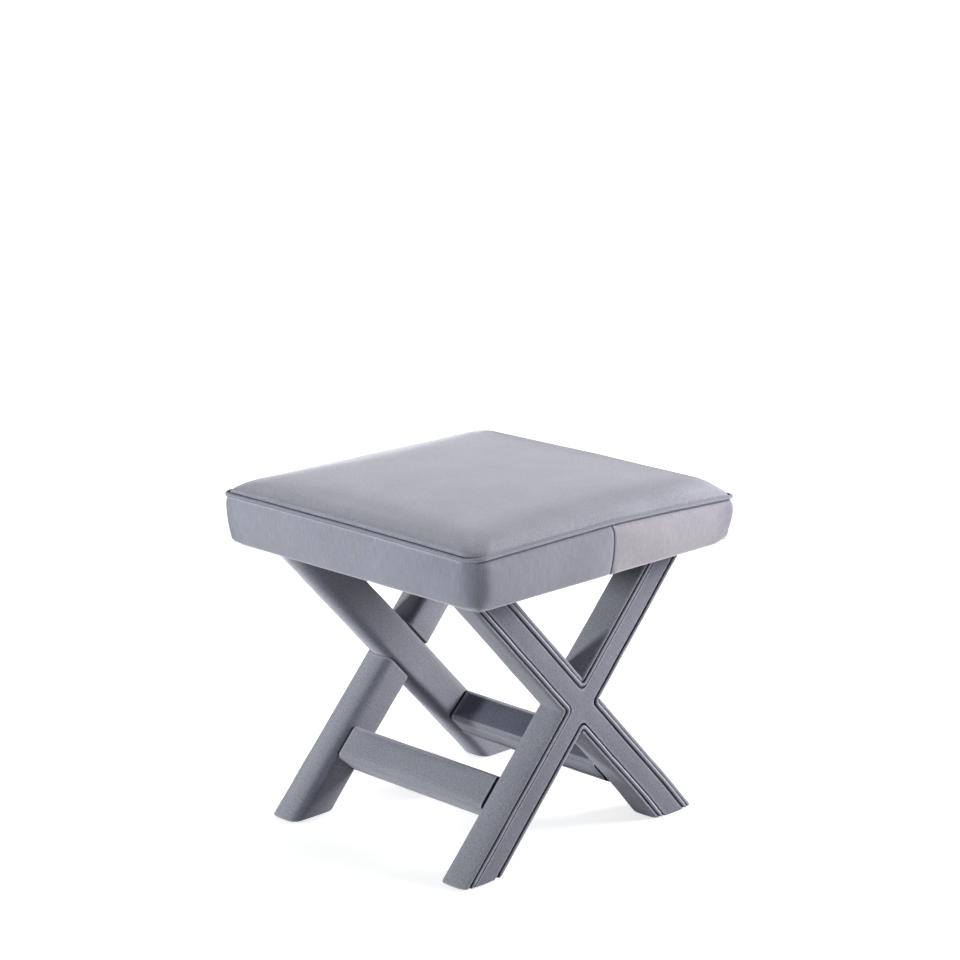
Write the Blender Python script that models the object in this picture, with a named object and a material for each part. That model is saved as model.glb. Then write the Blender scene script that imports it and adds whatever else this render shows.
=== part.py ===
"""Square upholstered bench: a boxed seat on two padded X-frames that two stretchers join.

Metres, +Z up. The origin is on the floor, under the middle of the seat. The X-frames stand in
planes of constant Y, and the stretchers run along Y between them.
"""

import math

import bmesh
import bpy

# Driving sizes of the seat
SEAT_SIDE = 0.480
SEAT_CORNER_RADIUS = 0.016
SEAT_UNDERSIDE_HEIGHT = 0.3813
BOXING_HEIGHT = 0.0675
BOXING_DRAW_IN = 0.005
BOXING_PADDING = 0.0045
BOXING_BELLY_DROP = 0.014
BOXING_TOP_TUCK = 0.0018
BOXING_ROLL_RADIUS = 0.0055
BOXING_SEAM_OFFSET = 0.005
HEM_WIDTH = 0.012
CROWN_SHOULDER = 0.0185
CROWN_DOME = 0.0045
CROWN_SHARPNESS = 14
SEAT_WELT_DIAMETER = 0.006
SEAT_WELT_INSET = 0.0025
TOP_COVER_THICKNESS = 0.0015
FABRIC_THICKNESS = 0.0012
DUST_COVER_THICKNESS = 0.0007
DUST_COVER_OVERLAP = 0.005

# Driving sizes of the wooden seat frame
RAIL_THICKNESS = 0.020
RAIL_HEIGHT = 0.028
CROSS_RAIL_WIDTH = 0.045
DECK_THICKNESS = 0.009

# Driving sizes of the X-frames
FRAME_INSET = 0.0512
LEG_TOP_INSET = 0.0692
CROSSING_HEIGHT = 0.1958
CORE_WIDTH = 0.038
CORE_DEPTH = 0.036
SIDE_PADDING = 0.0081
INNER_PADDING = 0.0062
INNER_CORNER_RADIUS = 0.010
LIP_RADIUS = 0.004
LIP_RECESS = 0.001
PANEL_THICKNESS = 0.0042
PANEL_CHAMFER = 0.001
FACE_WELT_DIAMETER = 0.006
FACE_WELT_INSET = 0.0098
NOTCH_RADIUS = 0.007

# Driving sizes of the stretchers
STRETCHER_HEIGHT = 0.0825
STRETCHER_CORE_SIDE = 0.036
STRETCHER_PADDING = 0.0062
STRETCHER_CORNER_RADIUS = 0.009

# Driving sizes of the hardware
GLIDE_DIAMETER = 0.020
GLIDE_HEIGHT = 0.0025
GLIDE_EDGE_CHAMFER = 0.0008
GLIDE_NAIL_DIAMETER = 0.003
GLIDE_NAIL_LENGTH = 0.014
BOLT_DIAMETER = 0.006
BOLT_HEAD_DIAMETER = 0.011
BOLT_HEAD_HEIGHT = 0.006
BOLT_HEAD_SINK = 0.001
BOLT_GRIP_IN_LEG = 0.030
INSERT_DIAMETER = 0.011
INSERT_LENGTH = 0.020
SCREW_DIAMETER = 0.006
SCREW_HEAD_DIAMETER = 0.012
SCREW_HEAD_HEIGHT = 0.005
SCREW_HEAD_SINK = 0.0005
SCREW_GRIP_IN_STRETCHER = 0.045

# Clearances: GAP lies between pieces that touch, REACH carries a cutter past the face it opens
GAP = 0.0003
REACH = 0.005
LEAST_RADIUS = 0.001

# Facets
CORNER_STEPS = 5
NOTCH_STEPS = 6
WELT_SIDES = 10
ROUND_SIDES = 16
SIDE_FRACTIONS = (-0.94, -0.80, -0.50, 0.0, 0.50, 0.80, 0.94)
CROWN_RING_INSETS = (0.0, 0.005, 0.011, 0.020, 0.038, 0.075, 0.120, 0.170, 0.212)
SHADE_ANGLE = math.radians(40)

# Colours as linear red, green and blue, with roughness and metallic value
VELVET = ("velvet", (0.33, 0.335, 0.385), 0.85, 0.0)
PINE = ("pine", (0.60, 0.42, 0.24), 0.65, 0.0)
PLYWOOD = ("plywood", (0.55, 0.38, 0.22), 0.70, 0.0)
FOAM = ("foam", (0.78, 0.74, 0.58), 0.95, 0.0)
CAMBRIC = ("cambric", (0.02, 0.02, 0.022), 0.95, 0.0)
STEEL = ("zinc_steel", (0.55, 0.55, 0.56), 0.35, 1.0)
NYLON = ("nylon", (0.04, 0.04, 0.045), 0.50, 0.0)

# Heights, from the floor up
LEG_BOTTOM = GLIDE_HEIGHT + GAP
DUST_COVER_TOP = SEAT_UNDERSIDE_HEIGHT - GAP
DUST_COVER_BOTTOM = DUST_COVER_TOP - DUST_COVER_THICKNESS
LEG_TOP = DUST_COVER_BOTTOM - GAP
HEM_TOP = SEAT_UNDERSIDE_HEIGHT + FABRIC_THICKNESS
RAIL_BOTTOM = HEM_TOP + GAP
RAIL_TOP = RAIL_BOTTOM + RAIL_HEIGHT
DECK_BOTTOM = RAIL_TOP + GAP
DECK_TOP = DECK_BOTTOM + DECK_THICKNESS
FOAM_BOTTOM = DECK_TOP + GAP
SEAT_WELT_HEIGHT = SEAT_UNDERSIDE_HEIGHT + BOXING_HEIGHT
SEAT_WELT_RADIUS = SEAT_WELT_DIAMETER / 2
BOXING_TOP = SEAT_WELT_HEIGHT - SEAT_WELT_RADIUS - GAP

# Half sizes of the seat's layers in plan
SEAT_HALF = SEAT_SIDE / 2
SEAT_WELT_HALF = SEAT_HALF - SEAT_WELT_INSET
TOP_COVER_HALF = SEAT_WELT_HALF - SEAT_WELT_RADIUS - GAP
HEM_OUTER_HALF = SEAT_HALF - BOXING_DRAW_IN - BOXING_ROLL_RADIUS
HEM_INNER_HALF = HEM_OUTER_HALF - HEM_WIDTH
BOXING_INNER_HALF = SEAT_HALF - BOXING_DRAW_IN - BOXING_PADDING
SEAT_FRAME_HALF = BOXING_INNER_HALF - GAP
DUST_COVER_HALF = HEM_INNER_HALF + DUST_COVER_OVERLAP

# The X-frame's section: u runs across a bar in the frame's plane, v runs inward from its outer face
FRAME_FACE = SEAT_HALF - FRAME_INSET
CORE_HALF = CORE_WIDTH / 2
BAR_HALF = CORE_HALF + GAP + SIDE_PADDING
CORE_FACE = PANEL_THICKNESS + GAP
CORE_BACK = CORE_FACE + CORE_DEPTH
CORE_MIDDLE = (CORE_FACE + CORE_BACK) / 2
POCKET_BACK = CORE_BACK + GAP
BAR_DEPTH = POCKET_BACK + INNER_PADDING
FACE_WELT_RADIUS = FACE_WELT_DIAMETER / 2
FACE_WELT_OFFSET = BAR_HALF - FACE_WELT_INSET
FACE_WELT_DEPTH = CORE_FACE - GAP - FACE_WELT_RADIUS
FACE_POCKET_HALF = FACE_WELT_OFFSET + FACE_WELT_RADIUS + 1.5 * GAP
PANEL_HALF = FACE_WELT_OFFSET - FACE_WELT_RADIUS - GAP
PANEL_NOTCH_RADIUS = NOTCH_RADIUS + FACE_WELT_RADIUS + GAP
FRAME_MIDDLE_Y = FRAME_FACE - CORE_MIDDLE
FRAME_INNER_FACE = FRAME_FACE - BAR_DEPTH

# The bars' slope, from where their axes meet the seat
BAR_ANGLE = math.atan2(LEG_TOP - CROSSING_HEIGHT, SEAT_HALF - LEG_TOP_INSET)
BAR_COS = math.cos(BAR_ANGLE)
BAR_SIN = math.sin(BAR_ANGLE)

# Stretchers
STRETCHER_HALF = STRETCHER_CORE_SIDE / 2 + GAP + STRETCHER_PADDING
STRETCHER_END = FRAME_INNER_FACE - GAP
STRETCHER_X = (CROSSING_HEIGHT - STRETCHER_HEIGHT) * BAR_COS / BAR_SIN

# Hardware that joins the bars to the seat
BOLT_X = (LEG_TOP - BOLT_GRIP_IN_LEG / 2 - CROSSING_HEIGHT) * BAR_COS / BAR_SIN
BOLT_HEAD_TOP = RAIL_TOP - BOLT_HEAD_SINK
BOLT_HEAD_BOTTOM = BOLT_HEAD_TOP - BOLT_HEAD_HEIGHT
BOLT_TIP = LEG_TOP - BOLT_GRIP_IN_LEG
INSERT_TOP = LEG_TOP - GAP
INSERT_BOTTOM = INSERT_TOP - INSERT_LENGTH

# Which way each bar of a frame rises: the through bar to +X, the lapped bar to -X
THROUGH = 1
LAPPED = -1


# Mesh building

def clear_scene():
    for old in list(bpy.data.objects):
        bpy.data.objects.remove(old, do_unlink=True)


def solid(rings, closed=False, split=False):
    """A closed mesh lofted through rings of points; an open run of rings gets end caps."""
    shape = bmesh.new()
    loops = [[shape.verts.new(point) for point in ring] for ring in rings]
    following = loops[1:] + loops[:1] if closed else loops[1:]
    for low, high in zip(loops, following):
        for i in range(len(low)):
            j = (i + 1) % len(low)
            shape.faces.new((low[i], low[j], high[j], high[i]))
    if split:
        bmesh.ops.triangulate(shape, faces=shape.faces[:], quad_method="FIXED")
    if not closed:
        shape.faces.new(loops[0][::-1])
        shape.faces.new(loops[-1])
    bmesh.ops.recalc_face_normals(shape, faces=shape.faces[:])
    mesh = bpy.data.meshes.new("solid")
    shape.to_mesh(mesh)
    shape.free()
    return mesh


def carved(mesh, cutters):
    """The mesh with each cutter mesh taken away."""
    piece = bpy.data.objects.new("carved", mesh)
    bpy.context.collection.objects.link(piece)
    tools = []
    for cutter in cutters:
        tool = bpy.data.objects.new("cutter", cutter)
        bpy.context.collection.objects.link(tool)
        step = piece.modifiers.new("cut", "BOOLEAN")
        step.operation = "DIFFERENCE"
        step.solver = "EXACT"
        step.object = tool
        tools.append(tool)
    bpy.context.view_layer.update()
    seen = piece.evaluated_get(bpy.context.evaluated_depsgraph_get())
    result = bpy.data.meshes.new_from_object(seen)
    for used in [piece] + tools:
        bpy.data.objects.remove(used, do_unlink=True)
    return result


def material(kind):
    name, colour, roughness, metallic = kind
    found = bpy.data.materials.get(name)
    if found:
        return found
    made = bpy.data.materials.new(name)
    made.use_nodes = True
    shader = made.node_tree.nodes["Principled BSDF"]
    shader.inputs["Base Color"].default_value = (*colour, 1.0)
    shader.inputs["Roughness"].default_value = roughness
    shader.inputs["Metallic"].default_value = metallic
    made.diffuse_color = (*colour, 1.0)
    return made


def place(name, mesh, kind, parent):
    """A named object on the mesh, under a parent empty."""
    mesh.materials.clear()
    mesh.materials.append(material(kind))
    mesh.shade_smooth()
    mesh.set_sharp_from_angle(angle=SHADE_ANGLE)
    piece = bpy.data.objects.new(name, mesh)
    bpy.context.collection.objects.link(piece)
    piece.parent = parent
    return piece


def empty(name, turn=0.0, parent=None):
    anchor = bpy.data.objects.new(name, None)
    bpy.context.collection.objects.link(anchor)
    anchor.rotation_euler.z = turn
    anchor.parent = parent
    return anchor


# Outlines and rings

def arc(centre, radius, start, end, steps):
    """Points of an arc about a centre, from one angle to another, both ends included."""
    angles = [start + (end - start) * i / steps for i in range(steps + 1)]
    return [(centre[0] + radius * math.cos(a), centre[1] + radius * math.sin(a)) for a in angles]


def circle(radius, sides):
    return [(radius * math.cos(a), radius * math.sin(a)) for a in turn_angles(sides)]


def turn_angles(sides):
    return [2 * math.pi * i / sides for i in range(sides)]


def turned(profile, place_point, sides=ROUND_SIDES):
    """Rings of a turned piece: profile holds (radius, distance along the axis)."""
    return [[place_point(a, b, along) for a, b in circle(radius, sides)] for radius, along in profile]


def plan_radius(half):
    """Corner radius of a seat layer of that half size, concentric with the seat's corner."""
    return max(SEAT_CORNER_RADIUS - (SEAT_HALF - half), LEAST_RADIUS)


def plan_corner(half, quarter):
    """One rounded corner in plan; quarter 0 is at +X +Y, and they go round anticlockwise."""
    radius = plan_radius(half)
    middle = half - radius
    turn = quarter * math.pi / 2
    sign_x = 1 if quarter in (0, 3) else -1
    sign_y = 1 if quarter in (0, 1) else -1
    return arc((sign_x * middle, sign_y * middle), radius, turn, turn + math.pi / 2, CORNER_STEPS)


def plan_ring(half, with_sides=False):
    """A closed rounded square in plan, with points along its sides where a crown needs them."""
    points = []
    straight = half - plan_radius(half)
    for quarter in range(4):
        points += plan_corner(half, quarter)
        if with_sides:
            turn = (quarter + 1) * math.pi / 2
            for fraction in SIDE_FRACTIONS:
                along = fraction * straight
                points.append((half * math.cos(turn) - along * math.sin(turn),
                               half * math.sin(turn) + along * math.cos(turn)))
    return points


def plate(half, bottom, top):
    """A flat plate with the seat's outline."""
    return solid([[(x, y, z) for x, y in plan_ring(half)] for z in (bottom, top)])


# Seat

def crown_height(x, y):
    """Height of the seat's top surface: a steep padded shoulder with a low dome on it."""
    across = min(abs(x) / TOP_COVER_HALF, 1.0)
    along = min(abs(y) / TOP_COVER_HALF, 1.0)
    shoulder = (1 - across ** CROWN_SHARPNESS) * (1 - along ** CROWN_SHARPNESS)
    dome = (1 - across ** 2) * (1 - along ** 2)
    return SEAT_WELT_HEIGHT + CROWN_SHOULDER * shoulder + CROWN_DOME * dome


def crown_rings(halves, drop):
    """Rings on the crown, lowered by drop."""
    return [[(x, y, crown_height(x, y) - drop) for x, y in plan_ring(half, True)] for half in halves]


def seat_foam_mesh():
    halves = [SEAT_FRAME_HALF - inset for inset in CROWN_RING_INSETS]
    bottom = [(x, y, FOAM_BOTTOM) for x, y in plan_ring(SEAT_FRAME_HALF, True)]
    return solid([bottom] + crown_rings(halves, TOP_COVER_THICKNESS + GAP), split=True)


def seat_top_cover_mesh():
    halves = [TOP_COVER_HALF] + [SEAT_FRAME_HALF - inset for inset in CROWN_RING_INSETS]
    outside = crown_rings(halves[::-1], 0.0)
    inside = crown_rings(halves, TOP_COVER_THICKNESS)
    return solid(outside + inside, split=True)


def seat_welt_mesh():
    """A round cord that follows the rounded square of the top edge."""
    runs = []
    for out, rise in circle(SEAT_WELT_RADIUS, WELT_SIDES):
        run = plan_ring(SEAT_WELT_HALF + out)
        runs.append([(x, y, SEAT_WELT_HEIGHT + rise) for x, y in run])
    return solid([list(ring) for ring in zip(*runs)], closed=True)


def boxing_profile():
    """The boxing's section as (half size, height): belly, drawn-in side, roll and hem."""
    belly_height = SEAT_WELT_HEIGHT - BOXING_BELLY_DROP
    roll_height = SEAT_UNDERSIDE_HEIGHT + BOXING_ROLL_RADIUS
    outside = [(SEAT_HALF - BOXING_TOP_TUCK, BOXING_TOP)]
    for i in range(CORNER_STEPS + 1):
        share = i / CORNER_STEPS
        height = belly_height + (roll_height - belly_height) * share
        outside.append((SEAT_HALF - BOXING_DRAW_IN * share ** 2, height))
    roll_centre = (HEM_OUTER_HALF, roll_height)
    outside += arc(roll_centre, BOXING_ROLL_RADIUS, 0.0, -math.pi / 2, CORNER_STEPS)[1:]
    outside.append((HEM_INNER_HALF, SEAT_UNDERSIDE_HEIGHT))
    inside = [(HEM_INNER_HALF, HEM_TOP), (BOXING_INNER_HALF, HEM_TOP), (BOXING_INNER_HALF, BOXING_TOP)]
    return outside + inside


def half_boxing_mesh():
    """Half of the boxing, from its front seam round the +X side to its back seam."""
    runs = []
    for half, height in boxing_profile():
        run = [(BOXING_SEAM_OFFSET + GAP / 2, -half)]
        run += plan_corner(half, 3)
        run += plan_corner(half, 0)
        run.append((GAP / 2 - BOXING_SEAM_OFFSET, half))
        runs.append([(x, y, height) for x, y in run])
    return solid([list(ring) for ring in zip(*runs)])


def bolt_places():
    """Plan position of each leg bolt in both frames."""
    return [(sx * BOLT_X, sy * FRAME_MIDDLE_Y) for sx in (-1, 1) for sy in (-1, 1)]


def upright(x, y):
    """Places a turned piece's points about a vertical axis."""
    return lambda a, b, along: (x + a, y + b, along)


def bolt_profile(grow=0.0, top=BOLT_HEAD_TOP):
    shank = BOLT_DIAMETER / 2 + grow
    head = BOLT_HEAD_DIAMETER / 2 + grow
    return [(shank, BOLT_TIP - grow), (shank, BOLT_HEAD_BOTTOM - grow), (head, BOLT_HEAD_BOTTOM - grow), (head, top)]


def bolt_cutter(x, y):
    return solid(turned(bolt_profile(GAP, RAIL_TOP + REACH), upright(x, y)))


def end_rail_mesh():
    """The rail under the seat's -Y edge, with its two outer corners rounded."""
    inner = SEAT_FRAME_HALF - RAIL_THICKNESS
    outline = plan_corner(SEAT_FRAME_HALF, 2) + plan_corner(SEAT_FRAME_HALF, 3)
    outline += [(SEAT_FRAME_HALF, -inner), (-SEAT_FRAME_HALF, -inner)]
    return solid([[(x, y, z) for x, y in outline] for z in (RAIL_BOTTOM, RAIL_TOP)])


def block(low, high):
    """A rectangular block between two corners."""
    outline = [(low[0], low[1]), (high[0], low[1]), (high[0], high[1]), (low[0], high[1])]
    return solid([[(x, y, z) for x, y in outline] for z in (low[2], high[2])])


def side_rail_mesh():
    inner = SEAT_FRAME_HALF - RAIL_THICKNESS
    return block((inner, GAP - inner, RAIL_BOTTOM), (SEAT_FRAME_HALF, inner - GAP, RAIL_TOP))


def cross_rail_mesh():
    """The rail over the -Y frame, bored and counterbored for its two leg bolts."""
    reach = SEAT_FRAME_HALF - RAIL_THICKNESS - GAP
    half = CROSS_RAIL_WIDTH / 2
    low = (-reach, -FRAME_MIDDLE_Y - half, SEAT_UNDERSIDE_HEIGHT)
    high = (reach, -FRAME_MIDDLE_Y + half, RAIL_TOP)
    return carved(block(low, high), [bolt_cutter(x, -FRAME_MIDDLE_Y) for x in (-BOLT_X, BOLT_X)])


def dust_cover_mesh():
    sheet = plate(DUST_COVER_HALF, DUST_COVER_BOTTOM, DUST_COVER_TOP)
    return carved(sheet, [bolt_cutter(x, y) for x, y in bolt_places()])


def build_seat(root):
    """The seat's pieces; the second of each pair is the first, turned half round."""
    ways = {"front": empty("seat_front", 0.0, root), "back": empty("seat_back", math.pi, root)}
    place("seat_deck", plate(SEAT_FRAME_HALF, DECK_BOTTOM, DECK_TOP), PLYWOOD, root)
    place("seat_foam", seat_foam_mesh(), FOAM, root)
    place("seat_top_cover", seat_top_cover_mesh(), VELVET, root)
    place("seat_welt", seat_welt_mesh(), VELVET, root)
    place("dust_cover", dust_cover_mesh(), CAMBRIC, root)
    pairs = [
        (("seat_rail_front", "seat_rail_back"), end_rail_mesh(), PINE),
        (("seat_rail_right", "seat_rail_left"), side_rail_mesh(), PINE),
        (("cross_rail_front", "cross_rail_back"), cross_rail_mesh(), PINE),
        (("seat_boxing_right", "seat_boxing_left"), half_boxing_mesh(), VELVET),
    ]
    for names, mesh, kind in pairs:
        for name, way in zip(names, ways.values()):
            place(name, mesh, kind, way)


# X-frame: every mesh is made for the -Y frame

def frame_y(depth):
    """Y of a depth inward from the frame's outer face."""
    return depth - FRAME_FACE


def bar_point(rise, u, along):
    """X and Z of a point at u across a bar and a distance along it from the crossing."""
    return (BAR_SIN * u + rise * BAR_COS * along, CROSSING_HEIGHT - rise * BAR_COS * u + BAR_SIN * along)


def bar_ring_at_height(rise, section, height):
    """A bar's section where a level plane cuts it."""
    ring = []
    for u, v in section:
        along = (height - CROSSING_HEIGHT + rise * BAR_COS * u) / BAR_SIN
        x, z = bar_point(rise, u, along)
        ring.append((x, frame_y(v), z))
    return ring


def bar_ring_square(rise, section, along):
    """A bar's section cut square to the bar."""
    ring = []
    for u, v in section:
        x, z = bar_point(rise, u, along)
        ring.append((x, frame_y(v), z))
    return ring


def bar_solid(rise, section, low=LEG_BOTTOM, high=LEG_TOP):
    return solid([bar_ring_at_height(rise, section, low), bar_ring_at_height(rise, section, high)])


def bar_cutter(rise, section):
    """A long cutter with that section along a bar."""
    return bar_solid(rise, section, LEG_BOTTOM - REACH, LEG_TOP + REACH)


def core_section(grow=0.0, front=CORE_FACE, back=CORE_BACK):
    half = CORE_HALF + grow
    return [(-half, front), (half, front), (half, back), (-half, back)]


def pocket_section():
    """The space inside a padded cover: the core, and over it the wider bed of panel and welts."""
    core = CORE_HALF + GAP
    bed = FACE_POCKET_HALF
    right = [(bed, -REACH), (bed, CORE_FACE), (core, CORE_FACE), (core, POCKET_BACK)]
    return right + [(-u, v) for u, v in reversed(right)]


def cover_outline(grow=0.0):
    """The padded cover's outside from its right lip round the inner face to its left lip."""
    half = BAR_HALF + grow
    back = BAR_DEPTH + grow
    inner = INNER_CORNER_RADIUS + grow
    right = arc((half - inner, back - inner), inner, 0.0, math.pi / 2, CORNER_STEPS)
    return right + [(-u, v) for u, v in reversed(right)]


def cover_section():
    """The padded cover's U: lips beside the welts, sides and inner face, less the pocket."""
    lip = min(LIP_RADIUS, BAR_HALF - FACE_POCKET_HALF - GAP)
    right_lip = arc((BAR_HALF - lip, LIP_RECESS + lip), lip, -math.pi / 2, 0.0, CORNER_STEPS)
    left_lip = [(-u, v) for u, v in reversed(right_lip)]
    core = CORE_HALF + GAP
    bed = FACE_POCKET_HALF
    pocket = [(-bed, LIP_RECESS), (-bed, CORE_FACE), (-core, CORE_FACE), (-core, POCKET_BACK)]
    return right_lip + cover_outline() + left_lip + pocket + [(-u, v) for u, v in reversed(pocket)]


def cover_cutter_section():
    """The cover's outside with its clearance, carried out past the frame's face."""
    half = BAR_HALF + GAP
    return [(half, -REACH)] + cover_outline(GAP) + [(-half, -REACH)]


def notch_edge(quarter, offset, radius):
    """X and Z along the X's edge in one notch, from the arm before it to the arm after it.

    Quarter 0 is the notch towards +X, and they go round anticlockwise. The edge lies at offset
    from both bars' axes, is rounded at that radius, and ends where the bars are cut level.
    """
    half_angle = BAR_ANGLE if quarter in (0, 2) else math.pi / 2 - BAR_ANGLE
    turn = quarter * math.pi / 2
    outward = (math.cos(turn), math.sin(turn))
    sideways = (-outward[1], outward[0])
    reach = (offset + radius) / math.sin(half_angle)
    centre = (reach * outward[0], CROSSING_HEIGHT + reach * outward[1])
    sweep = math.pi / 2 - half_angle
    bend = arc(centre, radius, turn + math.pi + sweep, turn + math.pi - sweep, NOTCH_STEPS)
    ends = []
    for side, near in ((-1, bend[0]), (1, bend[-1])):
        arm_x = outward[0] * math.cos(half_angle) + side * sideways[0] * math.sin(half_angle)
        arm_z = outward[1] * math.cos(half_angle) + side * sideways[1] * math.sin(half_angle)
        height = LEG_TOP if arm_z > 0 else LEG_BOTTOM
        along = (height - near[1]) / arm_z
        ends.append((near[0] + arm_x * along, height))
    return [ends[0]] + bend + [ends[1]]


def face_welt_mesh(quarter, grow=0.0):
    """The V-shaped welt of one notch: a round cord made of offset edges."""
    runs = []
    for out, lift in circle(FACE_WELT_RADIUS + grow, WELT_SIDES):
        run = notch_edge(quarter, FACE_WELT_OFFSET + out, NOTCH_RADIUS - out)
        runs.append([(x, frame_y(FACE_WELT_DEPTH - lift), z) for x, z in run])
    return solid([list(ring) for ring in zip(*runs)])


def face_panel_mesh():
    """The X-shaped outer panel, eased round its face."""
    rings = []
    for inset, depth in ((0.0, PANEL_THICKNESS), (0.0, PANEL_CHAMFER), (PANEL_CHAMFER, 0.0)):
        ring = []
        for quarter in range(4):
            ring += notch_edge(quarter, PANEL_HALF - inset, PANEL_NOTCH_RADIUS + inset)
        rings.append([(x, frame_y(depth), z) for x, z in ring])
    return solid(rings)


def axle(x, z):
    """Places a turned piece's points about an axis along Y."""
    return lambda a, b, along: (x + a, along, z + b)


def screw_profile(grow=0.0, head_face=None):
    """The screw from its head, sunk in a leg's core, to its tip in a stretcher's core."""
    shank = SCREW_DIAMETER / 2 + grow
    head = SCREW_HEAD_DIAMETER / 2 + grow
    face = frame_y(CORE_FACE + SCREW_HEAD_SINK) if head_face is None else head_face
    shoulder = frame_y(CORE_FACE + SCREW_HEAD_SINK + SCREW_HEAD_HEIGHT) + grow
    tip = SCREW_GRIP_IN_STRETCHER - STRETCHER_END + grow
    return [(head, face), (head, shoulder), (shank, shoulder), (shank, tip)]


def screw_cutter(x):
    return solid(turned(screw_profile(GAP, frame_y(CORE_FACE - REACH)), axle(x, STRETCHER_HEIGHT)))


def shank_cutter(x):
    """The screw's clearance hole through a cover's inner face."""
    shank = SCREW_DIAMETER / 2 + GAP
    ends = (frame_y(CORE_MIDDLE), frame_y(BAR_DEPTH + REACH))
    return solid(turned([(shank, y) for y in ends], axle(x, STRETCHER_HEIGHT)))


def glide_x(rise):
    return -rise * (CROSSING_HEIGHT - LEG_BOTTOM) * BAR_COS / BAR_SIN


def glide_mesh(rise):
    disc = GLIDE_DIAMETER / 2
    nail = GLIDE_NAIL_DIAMETER / 2
    profile = [(disc - GLIDE_EDGE_CHAMFER, 0.0), (disc, GLIDE_EDGE_CHAMFER), (disc, GLIDE_HEIGHT),
               (nail, GLIDE_HEIGHT), (nail, GLIDE_HEIGHT + GLIDE_NAIL_LENGTH)]
    return solid(turned(profile, upright(glide_x(rise), -FRAME_MIDDLE_Y)))


def core_mesh(rise, lap_front, lap_back):
    """One wooden bar: half-lapped at the crossing, and bored for its nail, bolt, insert and screw."""
    lap = bar_cutter(-rise, core_section(GAP, lap_front, lap_back))
    nail_hole = [(GLIDE_NAIL_DIAMETER / 2 + GAP, LEG_BOTTOM - REACH),
                 (GLIDE_NAIL_DIAMETER / 2 + GAP, GLIDE_HEIGHT + GLIDE_NAIL_LENGTH + GAP)]
    bolt_hole = [(BOLT_DIAMETER / 2 + GAP, BOLT_TIP - GAP), (BOLT_DIAMETER / 2 + GAP, INSERT_BOTTOM - GAP),
                 (INSERT_DIAMETER / 2 + GAP, INSERT_BOTTOM - GAP), (INSERT_DIAMETER / 2 + GAP, LEG_TOP + REACH)]
    cutters = [
        lap,
        solid(turned(nail_hole, upright(glide_x(rise), -FRAME_MIDDLE_Y))),
        solid(turned(bolt_hole, upright(rise * BOLT_X, -FRAME_MIDDLE_Y))),
        screw_cutter(-rise * STRETCHER_X),
    ]
    return carved(bar_solid(rise, core_section()), cutters)


def welt_cutters():
    return [face_welt_mesh(quarter, GAP) for quarter in range(4)]


def through_cover_mesh():
    """The cover that runs unbroken past the crossing, with windows for the lapped bar."""
    whole = bar_solid(THROUGH, cover_section())
    windows = bar_cutter(LAPPED, pocket_section())
    return carved(whole, [windows] + welt_cutters() + [shank_cutter(-STRETCHER_X)])


def lapped_cover_mesh(height, extra):
    """Half of the lapped bar's cover, coped over the cover that runs through."""
    section = cover_section()
    half = solid([bar_ring_square(LAPPED, section, 0.0), bar_ring_at_height(LAPPED, section, height)])
    through = bar_cutter(THROUGH, cover_cutter_section())
    return carved(half, [through] + welt_cutters() + extra)


def insert_mesh(rise):
    """A threaded insert: a sleeve in the top of a bar."""
    outside = INSERT_DIAMETER / 2
    bore = BOLT_DIAMETER / 2 + GAP
    profile = [(outside, INSERT_BOTTOM), (outside, INSERT_TOP), (bore, INSERT_TOP), (bore, INSERT_BOTTOM)]
    return solid(turned(profile, upright(rise * BOLT_X, -FRAME_MIDDLE_Y)), closed=True)


def frame_pieces():
    """Every piece of one X-frame as name, mesh and material."""
    pieces = [
        ("through_bar", core_mesh(THROUGH, -REACH, CORE_MIDDLE + GAP / 2), PINE),
        ("lapped_bar", core_mesh(LAPPED, CORE_MIDDLE - GAP / 2, BAR_DEPTH + REACH), PINE),
        ("through_cover", through_cover_mesh(), VELVET),
        ("lapped_cover_upper", lapped_cover_mesh(LEG_TOP, []), VELVET),
        ("lapped_cover_lower", lapped_cover_mesh(LEG_BOTTOM, [shank_cutter(STRETCHER_X)]), VELVET),
        ("face_panel", face_panel_mesh(), VELVET),
    ]
    for quarter, notch in enumerate(("right", "top", "left", "bottom")):
        pieces.append((f"face_welt_{notch}", face_welt_mesh(quarter), VELVET))
    for bar, rise in (("through", THROUGH), ("lapped", LAPPED)):
        bolt = turned(bolt_profile(), upright(rise * BOLT_X, -FRAME_MIDDLE_Y))
        screw = turned(screw_profile(), axle(-rise * STRETCHER_X, STRETCHER_HEIGHT))
        pieces.append((f"glide_{bar}", glide_mesh(rise), NYLON))
        pieces.append((f"leg_bolt_{bar}", solid(bolt), STEEL))
        pieces.append((f"leg_insert_{bar}", insert_mesh(rise), STEEL))
        pieces.append((f"stretcher_screw_{bar}", solid(screw), STEEL))
    return pieces


def build_frames(root):
    """Two alike X-frames, the back one turned half round."""
    pieces = frame_pieces()
    for side, turn in (("front", 0.0), ("back", math.pi)):
        anchor = empty(f"{side}_frame", turn, root)
        for name, mesh, kind in pieces:
            place(f"{side}_{name}", mesh, kind, anchor)


# Stretchers

def stretcher_ring(outline, y):
    """A stretcher's section, turned to lie along its leg, in the -X leg's place."""
    ring = []
    for u, w in outline:
        x = -STRETCHER_X + BAR_SIN * u + BAR_COS * w
        z = STRETCHER_HEIGHT - BAR_COS * u + BAR_SIN * w
        ring.append((x, y, z))
    return ring


def square_outline(half, radius):
    points = []
    for quarter in range(4):
        turn = quarter * math.pi / 2
        spread = (half - radius) * math.sqrt(2)
        centre = (spread * math.cos(turn + math.pi / 4), spread * math.sin(turn + math.pi / 4))
        points += arc(centre, radius, turn, turn + math.pi / 2, CORNER_STEPS)
    return points


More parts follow.
